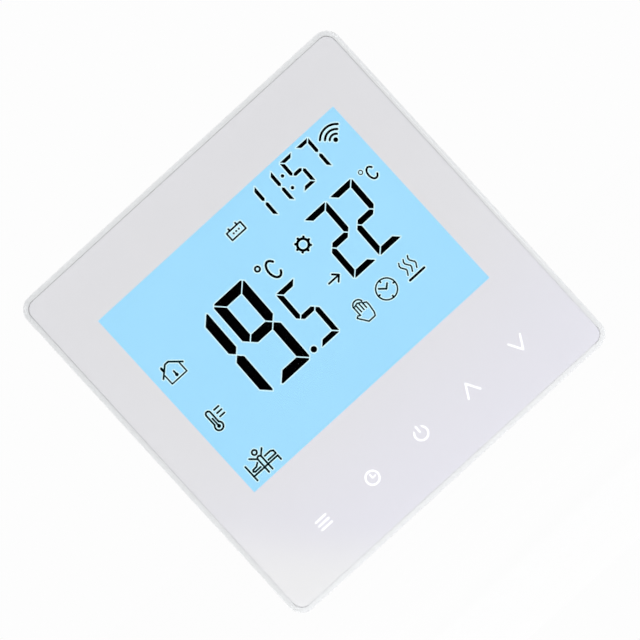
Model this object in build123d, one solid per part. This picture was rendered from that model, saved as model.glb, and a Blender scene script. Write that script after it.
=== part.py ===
"""Wall-mounted programmable heating timer: an 86 mm touch panel on a power box that sits in a 60 mm wall box.

Two units make it up. The display unit, in front, holds the clear lens with its printed mask, the liquid
crystal cell and its backlight, the display board and five touch springs behind the key symbols. The power
box, behind, is held to the wall by a steel frame and holds the supply, a relay and six rising-cage
terminals. The display unit pulls straight off the box, off four spring clips and a ten-way pin header.

Frame: the origin is on the wall, at the centre of the 60 mm screw pattern. +X is to the right as seen from
the room, +Y goes into the wall and +Z is up. Sizes are in millimetres.
"""

from build123d import *
import math
import os

# ---- clearances -------------------------------------------------------------------------------------
FIT = 0.15  # between parts that drop into each other
RUNNING = 0.05  # radial, a turning shaft in its hole
PIN_PLAY = 0.08  # each side of a header pin in its socket

# ---- panel, as seen from the room -------------------------------------------------------------------
panel_width = 86.0
panel_height = 86.0
panel_corner = 3.4
lens_edge = 0.9  # rounding of the lens's front edge
print_margin = 1.2  # clear border of the lens outside the print
window_width = 64.9
window_height = 47.3
window_up = 6.2  # window centre above the panel centre
key_count = 5
key_pitch = 13.45
key_row_right = 0.8  # the row of keys sits a little right of the middle
key_up = -31.5
key_size = 3.3  # height of a key symbol
key_stroke = 0.42

# ---- depth stack of the display unit, from the room to the wall -------------------------------------
lens_t = 2.0
ink_t = 0.15
tape_t = 0.2
cell_glass_t = 0.9  # each of the two glasses, with its polariser
diffuser_t = 0.2
guide_t = 2.0
holder_floor_t = 0.5
board_t = 1.2
parts_room = 3.05  # left behind the display board for its tallest parts
flange_t = 1.2  # front flange of the power box
frame_t = 1.0  # steel mounting frame, lying on the wall

front_depth = (
    lens_t + ink_t + tape_t + 2 * cell_glass_t + diffuser_t + guide_t
    + holder_floor_t + board_t + parts_room + flange_t + frame_t
)
lens_front = -front_depth
lens_back = lens_front + lens_t
ink_back = lens_back + ink_t
face_front = ink_back + tape_t
cell_mid = face_front + cell_glass_t
cell_back = cell_mid + cell_glass_t
diffuser_back = cell_back + diffuser_t
guide_back = diffuser_back + guide_t
board_front = guide_back + holder_floor_t
board_back = board_front + board_t
flange_front = -frame_t - flange_t

# ---- display shell ----------------------------------------------------------------------------------
shell_inset = 0.2  # the lens stands proud of the shell all round
shell_wall = 1.8
shell_face_t = 1.4
shell_draft = 1.0  # degrees, narrower towards the wall
shell_gap = 0.4  # between the shell's rear edge and the wall
pocket_clear = FIT  # round the print, in the pocket behind the lens
vent_width = 1.2
vent_depth = 5.0
vent_pitch = 3.0
vents_in_group = 8
vent_group_x = 24.0
notch_width = 6.0  # screwdriver notches in the bottom rear edge
notch_depth = 1.8
notch_x = 12.0

# ---- display parts ----------------------------------------------------------------------------------
cell_border = 2.55  # dark border of the cell outside the window
ledge_height = 3.0  # contact ledge of the front glass, below the rear glass
holder_wall = 1.0
connector_height = 2.0
connector_width = 62.0
led_room = 1.8  # beside the light guide, for the side lamps
board_gap = 1.4  # between the display board and the shell wall
boss_inset = 4.6  # board screws, in from the shell's outside
boss_radius = 2.2
pilot_radius = 0.85
screw_shank = 0.8
screw_length = 4.0
display_head_radius = 1.9
display_head_t = 1.3
tube_radius = 4.7
tube_wall = 0.6
key_hole_radius = tube_radius + 2 * FIT
spring_radius = 2.7  # to the centre of the wire
spring_wire = 0.5  # wire diameter
spring_turns = 4.5

# ---- parts on the display board, all on its wall side but the lamps ----------------------------------
lamp_spacing = 15.0
side_lamp_long = 3.2
side_lamp_wide = 1.4
side_lamp_t = 1.6
key_lamp_long = 1.6
key_lamp_wide = 0.8
key_lamp_t = 0.7
chip_stand = 0.1  # of a chip's body off the board
chip_lead_t = 0.3
chip_lead_hold = 0.2  # of a lead inside the chip's body
controller_x = 14.5
controller_z = -25.5
controller_side = 7.0
controller_t = 1.5
controller_side_leads = 8
controller_lead_pitch = 0.8
controller_lead_width = 0.3
controller_lead_reach = 1.0
touch_chip_x = -1.0
touch_chip_z = -26.0
touch_chip_long = 10.0
touch_chip_wide = 4.0
touch_chip_t = 1.6
touch_chip_row_leads = 8
touch_chip_lead_pitch = 1.27
touch_chip_lead_width = 0.4
touch_chip_lead_reach = 1.2
radio_left = -38.0
radio_low = -2.0
radio_wide = 16.0
radio_tall = 24.0
radio_board_t = 0.8
radio_can_side = 1.0  # from the radio board's sides to its can
radio_can_low = 1.5
radio_can_tall = 15.0
radio_can_height = 1.8
radio_can_wall = 0.2
clock_cell_x = 27.0
clock_cell_z = 6.0
clock_cell_radius = 6.25
clock_cell_t = 2.0
clip_contact_t = 0.35
clip_contact_side = 4.0
clip_strap_t = 0.3
clip_strap_width = 4.4
clip_strap_room = 0.9  # from the coin cell to the outside of the strap
buzzer_x = -28.0
buzzer_z = -12.0
buzzer_radius = 4.5
buzzer_t = 2.5
buzzer_hole_radius = 0.7
buzzer_hole_depth = 1.3
sensor_x = -30.0
sensor_inset = 3.4  # from the board's lower edge
sensor_stand = 1.9
sensor_bead_radius = 1.1
sensor_lead_pitch = 1.1
sensor_lead_radius = 0.22

# ---- header between the two units -------------------------------------------------------------------
header_columns = 5
header_rows = 2
header_pitch = 2.54
header_up = 4.0
pin_side = 0.64
pin_engagement = 2.3
socket_height = 3.0

# ---- power box, in the wall box ---------------------------------------------------------------------
ways = 6
way_pitch = 7.62
block_end_wall = 0.6
box_wall = 1.4
box_top = 25.0
box_bottom = -16.0
box_corner = 9.0  # cut off the upper corners, to enter a round wall box
box_headroom = 1.4  # behind the relay
flange_out = 3.0  # flange beyond the box's sides and top
flange_bottom = -22.5
cover_step = 0.8  # rebate for the cover in the box's rim
power_board_front = 1.6
power_board_t = 1.6
power_board_back = power_board_front + power_board_t
relay_tall = 20.0  # the tallest part on the power board
box_depth = power_board_back + relay_tall + box_headroom + box_wall

# ---- parts on the power board -----------------------------------------------------------------------
bulk_can_xs = (-13.0, -4.0)
bulk_can_z = 19.0
bulk_can_radius = 4.0
bulk_can_tall = 13.0
bulk_can_stand = 0.2
bulk_can_score = 2.2  # half the length of the scored cross
score_width = 0.3
score_depth = 0.2
bulk_lead_pitch = 3.5
bulk_lead_radius = 0.3
film_x = 9.5
film_z = 18.1
film_long = 13.0
film_wide = 5.0
film_tall = 11.0
side_row_inset = 4.21  # varistor and fuse, from the box's other side wall
varistor_z = 8.0
varistor_radius = 4.6
varistor_t = 3.2
varistor_stand = 5.6
varistor_lead_pitch = 5.0
varistor_lead_radius = 0.35
fuse_z = -0.6
fuse_radius = 1.7
fuse_tall = 10.0
fuse_cap_radius = 1.9
fuse_cap_length = 2.2
transformer_x = 9.6
transformer_z = 5.8
core_stand = 1.5
core_wide = 13.0
core_deep = 6.0
core_tall = 12.0
core_yoke = 2.0
core_limb = 1.8
core_post_radius = 1.7
bobbin_flange_t = 0.9
bobbin_room = 0.1  # between bobbin and core
bobbin_wide = 9.2
bobbin_deep = 12.8
winding_wide = 9.0
winding_deep = 12.0
bobbin_foot_wide = 8.8
bobbin_foot_deep = 3.2

# ---- relay ------------------------------------------------------------------------------------------
relay_margin = 1.21  # from the box's side wall
relay_low = -2.4
relay_long = 21.0
relay_wide = 16.0
relay_wall = 0.8
relay_floor_t = 2.0
relay_foot_radius = 0.6
relay_foot_inset = 1.5
armature_room = 4.2  # from the armature's pivot to the outside of the cover
coil_from_left = 7.4
pivot_from_left = 14.1
pivot_radius = 0.45
armature_t = 1.2
armature_wide = 9.6
armature_rise = 0.4  # of the armature above its pivot
contact_in = 1.9  # fixed contact, from the relay's outside
contact_plate_t = 0.5
contact_plate_tall = 7.0
contact_plate_wide = 4.0
contact_up = 5.0  # contacts above the relay's floor
contact_radius = 1.2
fixed_contact_t = 0.5
moving_contact_t = 0.6
yoke_wide = 10.0
yoke_wall_t = 1.4
yoke_floor_t = 1.0
magnet_radius = 2.0
magnet_drop = 0.4  # core's tip below the pivot
coil_flange_wide = 10.6
coil_flange_deep = 11.0
coil_flange_t = 0.9
coil_radius = 4.7
coil_drop = 1.0  # coil's back face below the pivot
blade_t = 0.25
blade_wide = 4.0
blade_reach = 2.9

# ---- wall fixing ------------------------------------------------------------------------------------
frame_margin = 0.5  # steel frame inside the shell's cavity
wall_spacing = 60.0
wall_slot_width = 4.2
wall_slot_length = 6.6
wall_head_width = 9.2  # room for the head of a wall screw
frame_corner = 2.5
tab_width = 9.0
tab_x = 26.0
clip_t = 0.3
clip_width = 6.0
clip_bump = 0.9
box_screw_head_radius = 2.2
box_screw_head_t = 1.0
box_screw_shank = 1.25
box_screw_side = 2.0  # upper box screws, in from the box's top and sides
box_screw_low_side = 3.0
box_screw_drop = 3.5  # lower box screws, below the box
box_rib_zs = (1.0, 15.0)
box_rib_t = 1.6
box_rib_deep = 1.0
cover_post_radius = 1.6
cover_post_x = 18.5
cover_post_zs = (-11.0, 14.0)
cover_vents = 5  # each side of the middle
cover_vent_x = 6.0
cover_vent_pitch = 2.6
cover_vent_z = 16.0
cover_vent_long = 7.0
cover_vent_wide = 1.2

# ---- terminal ---------------------------------------------------------------------------------------
partition = 1.32
block_front_wall = 1.2
block_rear_wall = 0.7
well_margin = 0.55  # from the screw head to the block's rear face
block_z = 10.8  # from the wire entries to the back of the block
cage_length = 6.3
cage_wall = 0.6
cage_floor_t = 0.7
cage_head_t = 1.4
cage_lift = 0.8  # of the open cage above the board
wire_height = 4.4  # open, below the current bar
bar_t = 0.8
bar_side_gap = 0.4
terminal_travel = 3.9
lip_t = 1.0
terminal_shank = 1.45
terminal_head_radius = 2.6
terminal_head_t = 1.6
well_radius = 2.8

half_width = panel_width / 2
half_height = panel_height / 2
block_width = ways * way_pitch + 2 * block_end_wall
box_width = block_width + 2 * FIT + 2 * box_wall
shell_rear = -shell_gap
shell_half_width = half_width - shell_inset
shell_half_height = half_height - shell_inset
shell_shrink = (shell_rear - lens_back) * math.tan(math.radians(shell_draft))
cavity_half_width = shell_half_width - shell_wall
cavity_half_height = shell_half_height - shell_wall
board_half_width = cavity_half_width - board_gap
board_half_height = cavity_half_height - board_gap
frame_half_width = cavity_half_width - shell_shrink - frame_margin
frame_half_height = cavity_half_height - shell_shrink - frame_margin

key_xs = [key_row_right + (i - (key_count - 1) / 2) * key_pitch for i in range(key_count)]
way_xs = [(i - (ways - 1) / 2) * way_pitch for i in range(ways)]
boss_spots = [
    (side * (half_width - boss_inset), up * (half_height - boss_inset - 2.0))
    for side in (-1, 1)
    for up in (-1, 1)
]

cell_half_width = window_width / 2 + cell_border
cell_top = window_up + window_height / 2 + cell_border
rear_glass_bottom = window_up - window_height / 2 - cell_border
cell_bottom = rear_glass_bottom - ledge_height
holder_half_width = cell_half_width + FIT + holder_wall
holder_top = cell_top + FIT + holder_wall
holder_bottom = cell_bottom - FIT - holder_wall


# ---- building blocks --------------------------------------------------------------------------------
def solid_between(outline, front, back):
    """An outline drawn as seen from the room, made solid between two depths."""
    return extrude(Plane.XZ.offset(-back) * outline, back - front)


def slab(x0, x1, y0, y1, z0, z1):
    """A box from its lowest to its highest corner."""
    middle = Pos((x0 + x1) / 2, (y0 + y1) / 2, (z0 + z1) / 2)
    return middle * Box(x1 - x0, y1 - y0, z1 - z0)


def rod(radius, front, back, x=0.0, z=0.0):
    """A round bar along Y between two depths."""
    return solid_between(Pos(x, z) * Circle(radius), front, back)


def rounded(half_w, half_h, radius):
    return RectangleRounded(2 * half_w, 2 * half_h, radius)


def rectangle(x0, x1, z0, z1):
    return Pos((x0 + x1) / 2, (z0 + z1) / 2) * Rectangle(x1 - x0, z1 - z0)


def stroke(x0, z0, x1, z1, width):
    """A round-ended bar from one point to another, as printed or drawn."""
    length = math.hypot(x1 - x0, z1 - z0)
    angle = math.degrees(math.atan2(z1 - z0, x1 - x0))
    return Pos((x0 + x1) / 2, (z0 + z1) / 2) * Rot(0, 0, angle) * SlotCenterToCenter(length, width)


def tub_outline(grow=0.0):
    """The power box seen from the room: a rectangle with its upper corners cut off, grown all round."""
    half = box_width / 2 + grow
    top = box_top + grow
    low = box_bottom - grow
    cut = box_corner + grow * (2 - math.sqrt(2))
    points = [
        (-half, low),
        (half, low),
        (half, top - cut),
        (half - cut, top),
        (cut - half, top),
        (-half, top - cut),
    ]
    return make_face(Polyline(*points, close=True))


def save(name, *shapes):
    """Writes the solids of one node."""
    solids = [one for shape in shapes for one in shape.solids()]
    export_step(Compound(children=solids), f"parts/{name}.step")


# ---- lens, mask and key symbols ---------------------------------------------------------------------
def front_lens():
    """Clear acrylic plate that covers the whole front, with its front edge rounded."""
    plate = solid_between(rounded(half_width, half_height, panel_corner), lens_front, lens_back)
    rim = plate.faces().sort_by(Axis.Y)[0].edges()
    return fillet(rim, lens_edge)


def menu_symbol():
    step = key_size * 0.3
    half = key_size * 0.4
    bars = [stroke(-half, up * step, half, up * step, key_stroke) for up in (-1, 0, 1)]
    return bars[0] + bars[1] + bars[2]


def clock_symbol():
    outer = key_size / 2
    ring = Circle(outer) - Circle(outer - key_stroke)
    hands = stroke(0, 0, 0, outer * 0.5, key_stroke * 0.8) + stroke(0, 0, outer * 0.45, 0, key_stroke * 0.8)
    return ring + hands


def power_symbol():
    outer = key_size / 2
    gap = 0.85 * outer
    ring = Circle(outer) - Circle(outer - key_stroke)
    ring = ring - rectangle(-gap / 2 - key_stroke / 2, gap / 2 + key_stroke / 2, 0, outer + 1)
    return ring + stroke(0, outer * 0.25, 0, outer * 1.05, key_stroke)


def chevron_symbol(direction):
    half = key_size * 0.48
    rise = direction * key_size * 0.42
    return stroke(-half, -rise, 0, rise, key_stroke) + stroke(0, rise, half, -rise, key_stroke)


def key_symbols():
    """The symbols of the five touch keys: menu, clock, power, up and down."""
    drawn = [menu_symbol(), clock_symbol(), power_symbol(), chevron_symbol(1), chevron_symbol(-1)]
    placed = []
    for x, symbol in zip(key_xs, drawn):
        placed.append(solid_between(Pos(x, key_up) * symbol, lens_back, ink_back))
    return placed


def printed_mask(symbols):
    """Ink on the back of the lens, with the display window and the key symbols left open."""
    outline = rounded(half_width - print_margin, half_height - print_margin, panel_corner - print_margin)
    mask = solid_between(outline, lens_back, ink_back)
    mask -= solid_between(Pos(0, window_up) * Rectangle(window_width, window_height), lens_back, ink_back)
    for symbol in symbols:
        mask -= symbol
    return mask


def pocket_outline():
    margin = print_margin - pocket_clear
    return rounded(half_width - margin, half_height - margin, panel_corner - margin)


def module_opening(clear):
    """The hole in the shell's face that the cell and its holder stand in."""
    half = holder_half_width + clear
    return rectangle(-half, half, holder_bottom - clear, holder_top + clear)


def lens_tape():
    """Die-cut adhesive between the print and the shell's face."""
    margin = print_margin + 2 * FIT
    outline = rounded(half_width - margin, half_height - margin, panel_corner - print_margin)
    tape = solid_between(outline - module_opening(0.5), ink_back, face_front)
    for x in key_xs:
        tape -= rod(key_hole_radius + 0.3, ink_back, face_front, x, key_up)
    return tape


# ---- display shell ----------------------------------------------------------------------------------
def vent_slots():
    """Convection slots through the top and bottom walls."""
    middle = (face_front + shell_face_t + shell_rear) / 2 - 0.6
    slots = []
    for group in (-vent_group_x, vent_group_x):
        for i in range(vents_in_group):
            x = group + (i - (vents_in_group - 1) / 2) * vent_pitch
            for up in (-1, 1):
                z = up * (shell_half_height - shell_wall / 2)
                cutter = Rot(90 * up, 0, 0) * SlotOverall(vent_depth, vent_width, rotation=90)
                slots.append(Pos(x, middle, z - 2.0) * extrude(cutter.face(), 4.0, both=True))
    return slots


def clip_pockets():
    """Shallow recesses in the top and bottom walls that the spring clips snap into."""
    middle = clip_middle()
    low = cavity_half_height - shell_shrink - 0.4
    high = cavity_half_height + 0.6
    pockets = []
    for x in (-tab_x, tab_x):
        for up in (-1, 1):
            z0, z1 = sorted((up * low, up * high))
            half = clip_width / 2 + 0.5
            pockets.append(slab(x - half, x + half, middle - 1.4, middle + 1.4, z0, z1))
    return pockets


def front_shell():
    """White moulded housing of the display unit: four drafted walls, a face and four screw bosses."""
    depth = shell_rear - lens_back
    outer = rounded(shell_half_width, shell_half_height, panel_corner - shell_inset)
    body = extrude(Plane.XZ.offset(-lens_back) * outer, -depth, taper=shell_draft)
    inner = rounded(cavity_half_width, cavity_half_height, 1.6)
    face_back = face_front + shell_face_t
    hollow = extrude(Plane.XZ.offset(-face_back) * inner, -(shell_rear - face_back), taper=shell_draft)
    body -= hollow
    body -= solid_between(pocket_outline(), lens_back, face_front)
    body -= solid_between(module_opening(0.3), face_front, face_back)
    for x in key_xs:
        body -= rod(key_hole_radius, face_front, face_back, x, key_up)
    for x, z in boss_spots:
        body += rod(boss_radius, face_back, board_front, x, z)
        body -= rod(pilot_radius, face_back - 0.4, board_front, x, z)
    for cutter in clip_pockets():
        body -= cutter
    rear_half_height = shell_half_height - shell_shrink
    for x in (-notch_x, notch_x):
        body -= slab(
            x - notch_width / 2, x + notch_width / 2, shell_rear - notch_depth, shell_rear,
            -rear_half_height - 1, -rear_half_height + shell_wall + 1,
        )
    for slot in vent_slots():
        body -= slot
    return body


# ---- liquid crystal cell and backlight --------------------------------------------------------------
def lcd_front_glass():
    return slab(-cell_half_width, cell_half_width, face_front, cell_mid, cell_bottom, cell_top)


def lcd_rear_glass():
    return slab(-cell_half_width, cell_half_width, cell_mid, cell_back, rear_glass_bottom, cell_top)


def backlight_diffuser():
    right = cell_half_width - led_room
    return slab(-cell_half_width, right, cell_back, diffuser_back, rear_glass_bottom, cell_top)


def backlight_guide():
    """Clear light guide behind the diffuser, lit from its right edge."""
    right = cell_half_width - led_room
    guide = slab(-cell_half_width, right, diffuser_back, guide_back, rear_glass_bottom, cell_top)
    edges = guide.edges().filter_by(Axis.Y)
    return chamfer(edges, 0.6)


def connector_slot(clear):
    """Where the rubber connector passes: from the glass ledge to the board."""
    top = rear_glass_bottom - (ledge_height - connector_height) / 2 + clear
    half = connector_width / 2 + clear
    return rectangle(-half, half, top - connector_height - 2 * clear, top)


def lcd_connector():
    """Striped rubber connector between the glass ledge and the display board."""
    return solid_between(connector_slot(0.0), cell_mid, board_front)


def backlight_holder():
    """White tray that holds the cell, the diffuser and the guide against the board."""
    outer = rectangle(-holder_half_width, holder_half_width, holder_bottom, holder_top)
    half = cell_half_width + FIT
    inner = rectangle(-half, half, cell_bottom - FIT, cell_top + FIT)
    tray = solid_between(outer, face_front, board_front)
    tray -= solid_between(inner, face_front, guide_back)
    rib = slab(
        -cell_half_width, cell_half_width, cell_back, guide_back,
        rear_glass_bottom - 0.35, rear_glass_bottom - FIT,
    )
    tray += rib
    tray -= solid_between(connector_slot(FIT / 2), cell_mid, board_front)
    return tray


def panel_lamps():
    """White lamps: three beside the light guide and one behind each key symbol."""
    lamps = []
    left = cell_half_width - led_room + FIT
    half = side_lamp_long / 2
    for up in (-lamp_spacing, 0.0, lamp_spacing):
        z = window_up + up
        lamp_front = guide_back - side_lamp_t
        lamps.append(slab(left, left + side_lamp_wide, lamp_front, guide_back, z - half, z + half))
    half_x = key_lamp_long / 2
    half_z = key_lamp_wide / 2
    lamp_front = board_front - key_lamp_t
    for x in key_xs:
        lamps.append(slab(x - half_x, x + half_x, lamp_front, board_front, key_up - half_z, key_up + half_z))
    return lamps


# ---- touch keys -------------------------------------------------------------------------------------
def touch_spring(x):
    """Coil spring that carries the touch from the back of the mask to the board."""
    wire = spring_wire / 2
    length = board_front - ink_back - 2 * wire - 0.04
    path = Helix(length / spring_turns, length, spring_radius)
    start = Plane(origin=path @ 0, z_dir=path % 0)
    coil = sweep(start * Circle(wire), path=path, is_frenet=True)
    return Pos(x, board_front - wire - 0.02, key_up) * Rot(90, 0, 0) * coil


def key_light_tube(x):
    """White tube that keeps each key's light to its own symbol."""
    tube = rod(tube_radius, ink_back + FIT, board_front, x, key_up)
    return tube - rod(tube_radius - tube_wall, ink_back + FIT, board_front, x, key_up)


# ---- display board and what is soldered to it -------------------------------------------------------
def display_board():
    outline = rounded(board_half_width, board_half_height, 2.0)
    board = solid_between(outline, board_front, board_back)
    for x, z in boss_spots:
        board -= rod(pilot_radius + 0.4, board_front, board_back, x, z)
    return board


def pan_screw(head_radius, head_t, shank, length, seat, x, z):
    """A cross-head screw driven towards the room, its head on the seat's wall side."""
    head = rod(head_radius, seat, seat + head_t, x, z)
    rim = head.faces().sort_by(Axis.Y)[-1].edges()
    head = fillet(rim, head_t * 0.4)
    arm = head_radius * 0.6
    groove = head_radius * 0.14
    depth = head_t * 0.55
    cross = slab(x - arm, x + arm, seat + head_t - depth, seat + head_t + 1, z - groove, z + groove)
    cross += slab(x - groove, x + groove, seat + head_t - depth, seat + head_t + 1, z - arm, z + arm)
    return head - cross + rod(shank, seat - length, seat, x, z)


def chip_lead(x0, x1, z0, z1):
    return slab(x0, x1, board_back, board_back + chip_lead_t, z0, z1)


def controller():
    """Square controller with leads on its four sides."""
    x, z = controller_x, controller_z
    half = controller_side / 2
    chip = slab(x - half, x + half, board_back + chip_stand, board_back + controller_t, z - half, z + half)
    inner = half - chip_lead_hold
    outer = half + controller_lead_reach
    for i in range(controller_side_leads):
        middle = (i - (controller_side_leads - 1) / 2) * controller_lead_pitch
        low = middle - controller_lead_width / 2
        high = middle + controller_lead_width / 2
        for side in (-1, 1):
            a, b = sorted((side * inner, side * outer))
            chip += chip_lead(x + a, x + b, z + low, z + high)
            chip += chip_lead(x + low, x + high, z + a, z + b)
    return chip


def touch_chip():
    """Touch-sensing chip with leads along its two long sides."""
    x, z = touch_chip_x, touch_chip_z
    half_x = touch_chip_long / 2
    half_z = touch_chip_wide / 2
    front = board_back + chip_stand
    chip = slab(x - half_x, x + half_x, front, board_back + touch_chip_t, z - half_z, z + half_z)
    inner = half_z - chip_lead_hold
    outer = half_z + touch_chip_lead_reach
    for i in range(touch_chip_row_leads):
        middle = x + (i - (touch_chip_row_leads - 1) / 2) * touch_chip_lead_pitch
        half = touch_chip_lead_width / 2
        for side in (-1, 1):
            a, b = sorted((side * inner, side * outer))
            chip += chip_lead(middle - half, middle + half, z + a, z + b)
    return chip


radio_back = board_back + radio_board_t


def radio_board():
    return slab(
        radio_left, radio_left + radio_wide, board_back, radio_back, radio_low, radio_low + radio_tall,
    )


def radio_shield():
    """Pressed steel can over the radio's chips, hollow, with rounded top edges."""
    back = radio_back + radio_can_height
    wall = radio_can_wall
    x0, x1 = radio_left + radio_can_side, radio_left + radio_wide - radio_can_side
    z0 = radio_low + radio_can_low
    z1 = z0 + radio_can_tall
    can = slab(x0, x1, radio_back, back, z0, z1)
    can = fillet(can.faces().sort_by(Axis.Y)[-1].edges(), wall * 1.5)
    return can - slab(x0 + wall, x1 - wall, radio_back, back - wall, z0 + wall, z1 - wall)


clock_cell_front = board_back + clip_contact_t
clock_cell_back = clock_cell_front + clock_cell_t


def clock_cell():
    """Coin cell that keeps the time."""
    cell = rod(clock_cell_radius, clock_cell_front, clock_cell_back, clock_cell_x, clock_cell_z)
    return chamfer(cell.faces().sort_by(Axis.Y)[0].edges(), 0.3)


def cell_clip():
    """Sprung contact clip of the coin cell: a foot each side, a strap over it and a contact under it."""
    x, z = clock_cell_x, clock_cell_z
    half = clock_cell_radius + clip_strap_room
    rise = clip_strap_width / 2
    strap_back = clock_cell_back + clip_strap_t
    strap = slab(x - half, x + half, clock_cell_back, strap_back, z - rise, z + rise)
    for side in (-1, 1):
        a, b = sorted((side * half, side * (half - clip_strap_t)))
        strap += slab(x + a, x + b, board_back, strap_back, z - rise, z + rise)
    pad = clip_contact_side / 2
    contact = slab(x - pad, x + pad, board_back, clock_cell_front, z - pad, z + pad)
    return strap, contact


def buzzer():
    """Round sounder with its sound hole."""
    back = board_back + buzzer_t
    body = rod(buzzer_radius, board_back, back, buzzer_x, buzzer_z)
    body = fillet(body.faces().sort_by(Axis.Y)[-1].edges(), 0.3)
    return body - rod(buzzer_hole_radius, back - buzzer_hole_depth, back, buzzer_x, buzzer_z)


def room_sensor():
    """Bead thermistor that stands off the board by its leads, next to the bottom vents."""
    z = sensor_inset - board_half_height
    tip = board_back + sensor_stand
    bead = Pos(sensor_x, tip, z) * Sphere(sensor_bead_radius)
    for side in (-sensor_lead_pitch / 2, sensor_lead_pitch / 2):
        bead += rod(sensor_lead_radius, board_back, tip, sensor_x + side, z)
    return bead


def header_spots():
    spots = []
    for column in range(header_columns):
        for row in range(header_rows):
            x = (column - (header_columns - 1) / 2) * header_pitch
            z = header_up + (row - (header_rows - 1) / 2) * header_pitch
            spots.append((x, z))
    return spots


header_half_x = header_columns * header_pitch / 2
header_half_z = header_rows * header_pitch / 2
socket_front = power_board_front - socket_height
header_body_back = board_back + 1.6


def header_pins():
    """Ten square pins from the display board into the socket of the power box."""
    half = pin_side / 2
    tip = socket_front + pin_engagement
    pins = []
    for x, z in header_spots():
        pin = slab(x - half, x + half, board_back, tip, z - half, z + half)
        pins.append(chamfer(pin.faces().sort_by(Axis.Y)[-1].edges(), 0.15))
    return pins


def header_body():
    body = slab(
        -header_half_x, header_half_x, board_back, header_body_back,
        header_up - header_half_z, header_up + header_half_z,
    )
    half = pin_side / 2
    for x, z in header_spots():
        body -= slab(x - half, x + half, board_back, header_body_back, z - half, z + half)
    return body


def header_socket():
    """Socket on the power board, with a lead-in at each hole."""
    half_x = header_half_x + 0.4
    half_z = header_half_z + 0.2
    body = slab(-half_x, half_x, socket_front, power_board_front, header_up - half_z, header_up + half_z)
    half = pin_side / 2 + PIN_PLAY
    for x, z in header_spots():
        body -= slab(x - half, x + half, socket_front, power_board_front - 0.3, z - half, z + half)
    return body


# ---- steel frame, clips and box ---------------------------------------------------------------------
def clip_middle():
    """Depth of the clips' bumps."""
    return (board_back - frame_t) / 2


def wall_slots(width, length):
    """Slotted holes on the 60 mm pattern, two across and two up."""
    half = wall_spacing / 2
    across = [Pos(side * half, 0) * SlotOverall(length, width) for side in (-1, 1)]
    upright = [Pos(0, up * half) * SlotOverall(length, width, rotation=90) for up in (-1, 1)]
    return across + upright


def box_screw_spots():
    top = (box_width / 2 - box_screw_side, box_top - box_screw_side)
    low = (box_width / 2 - box_screw_low_side, box_bottom - box_screw_drop)
    return [(side * x, z) for x, z in (top, low) for side in (-1, 1)]


def mounting_frame():
    """Galvanised steel plate that is screwed to the wall box, with four tabs for the clips."""
    plate = solid_between(rounded(frame_half_width, frame_half_height, frame_corner), -frame_t, 0)
    plate -= solid_between(tub_outline(0.3), -frame_t, 0)
    for slot in wall_slots(wall_slot_width, wall_slot_length):
        plate -= solid_between(slot, -frame_t, 0)
    for x, z in box_screw_spots():
        plate -= rod(box_screw_shank + RUNNING, -frame_t, 0, x, z)
    tip = board_back + 0.4
    for x in (-tab_x, tab_x):
        for up in (-1, 1):
            z0, z1 = sorted((up * frame_half_height, up * (frame_half_height - frame_t)))
            plate += slab(x - tab_width / 2, x + tab_width / 2, tip, 0, z0, z1)
    return plate


def retaining_clips():
    """Four leaf springs on the frame's tabs, bowed outwards to snap into the shell."""
    seat = frame_half_height
    middle = clip_middle()
    half_length = 1.5
    clips = []
    for x in (-tab_x, tab_x):
        for up in (-1, 1):
            low = ThreePointArc((-half_length, 0), (0, clip_bump), (half_length, 0))
            high = ThreePointArc((half_length, clip_t), (0, clip_bump + clip_t), (-half_length, clip_t))
            sides = [Line(low @ 1, high @ 0), Line(high @ 1, low @ 0)]
            leaf = make_face([low, sides[0], high, sides[1]])
            corner = (x - clip_width / 2, middle, up * seat)
            bow = Plane(origin=corner, x_dir=(0, 1, 0), z_dir=(up, 0, 0)) * leaf
            clips.append(extrude(bow, clip_width, dir=(1, 0, 0)))
    return clips


def box_screw(x, z):
    """Screw through the box's flange into the frame."""
    screw = pan_screw(box_screw_head_radius, box_screw_head_t, box_screw_shank, flange_t + frame_t, 0, x, z)
    return Pos(0, flange_front, 0) * mirror(screw, Plane.XZ)


def flange_outline():
    half = box_width / 2 + flange_out
    outline = rectangle(-half, half, flange_bottom, box_top + flange_out)
    outline = fillet(outline.vertices(), 2.0)
    for room in wall_slots(wall_head_width, wall_slot_length + wall_head_width - wall_slot_width):
        outline -= room
    return outline


def rear_box():
    """Moulded box in the wall box, stepped round the terminal block, with its flange on the frame."""
    inner = tub_outline(-box_wall)
    body = solid_between(tub_outline(), flange_front, box_depth)
    body += solid_between(flange_outline(), flange_front, -frame_t)
    body -= solid_between(inner, flange_front, box_depth - box_wall)
    body -= solid_between(tub_outline(-cover_step), flange_front, -frame_t)
    half = box_width / 2
    inside = half - box_wall
    block_top = box_bottom + 0.4 + block_z
    step_back = block_back + 0.4
    body -= slab(-half - 1, half + 1, step_back, box_depth + 1, box_bottom - 1, block_top + FIT)
    body -= slab(-inside, inside, power_board_back, step_back + 1, box_bottom - 1, block_top + FIT)
    shelf = (block_top + FIT, block_top + FIT + box_wall)
    body += slab(-inside, inside, power_board_back, box_depth - box_wall, *shelf)
    for side in (-1, 1):
        for z in box_rib_zs:
            x0, x1 = sorted((side * (inside - box_rib_deep), side * inside))
            body += slab(x0, x1, power_board_back, box_depth - box_wall, z, z + box_rib_t)
    for x, z in box_screw_spots():
        body -= rod(box_screw_shank + 0.15, flange_front, -frame_t, x, z)
    return body


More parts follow.
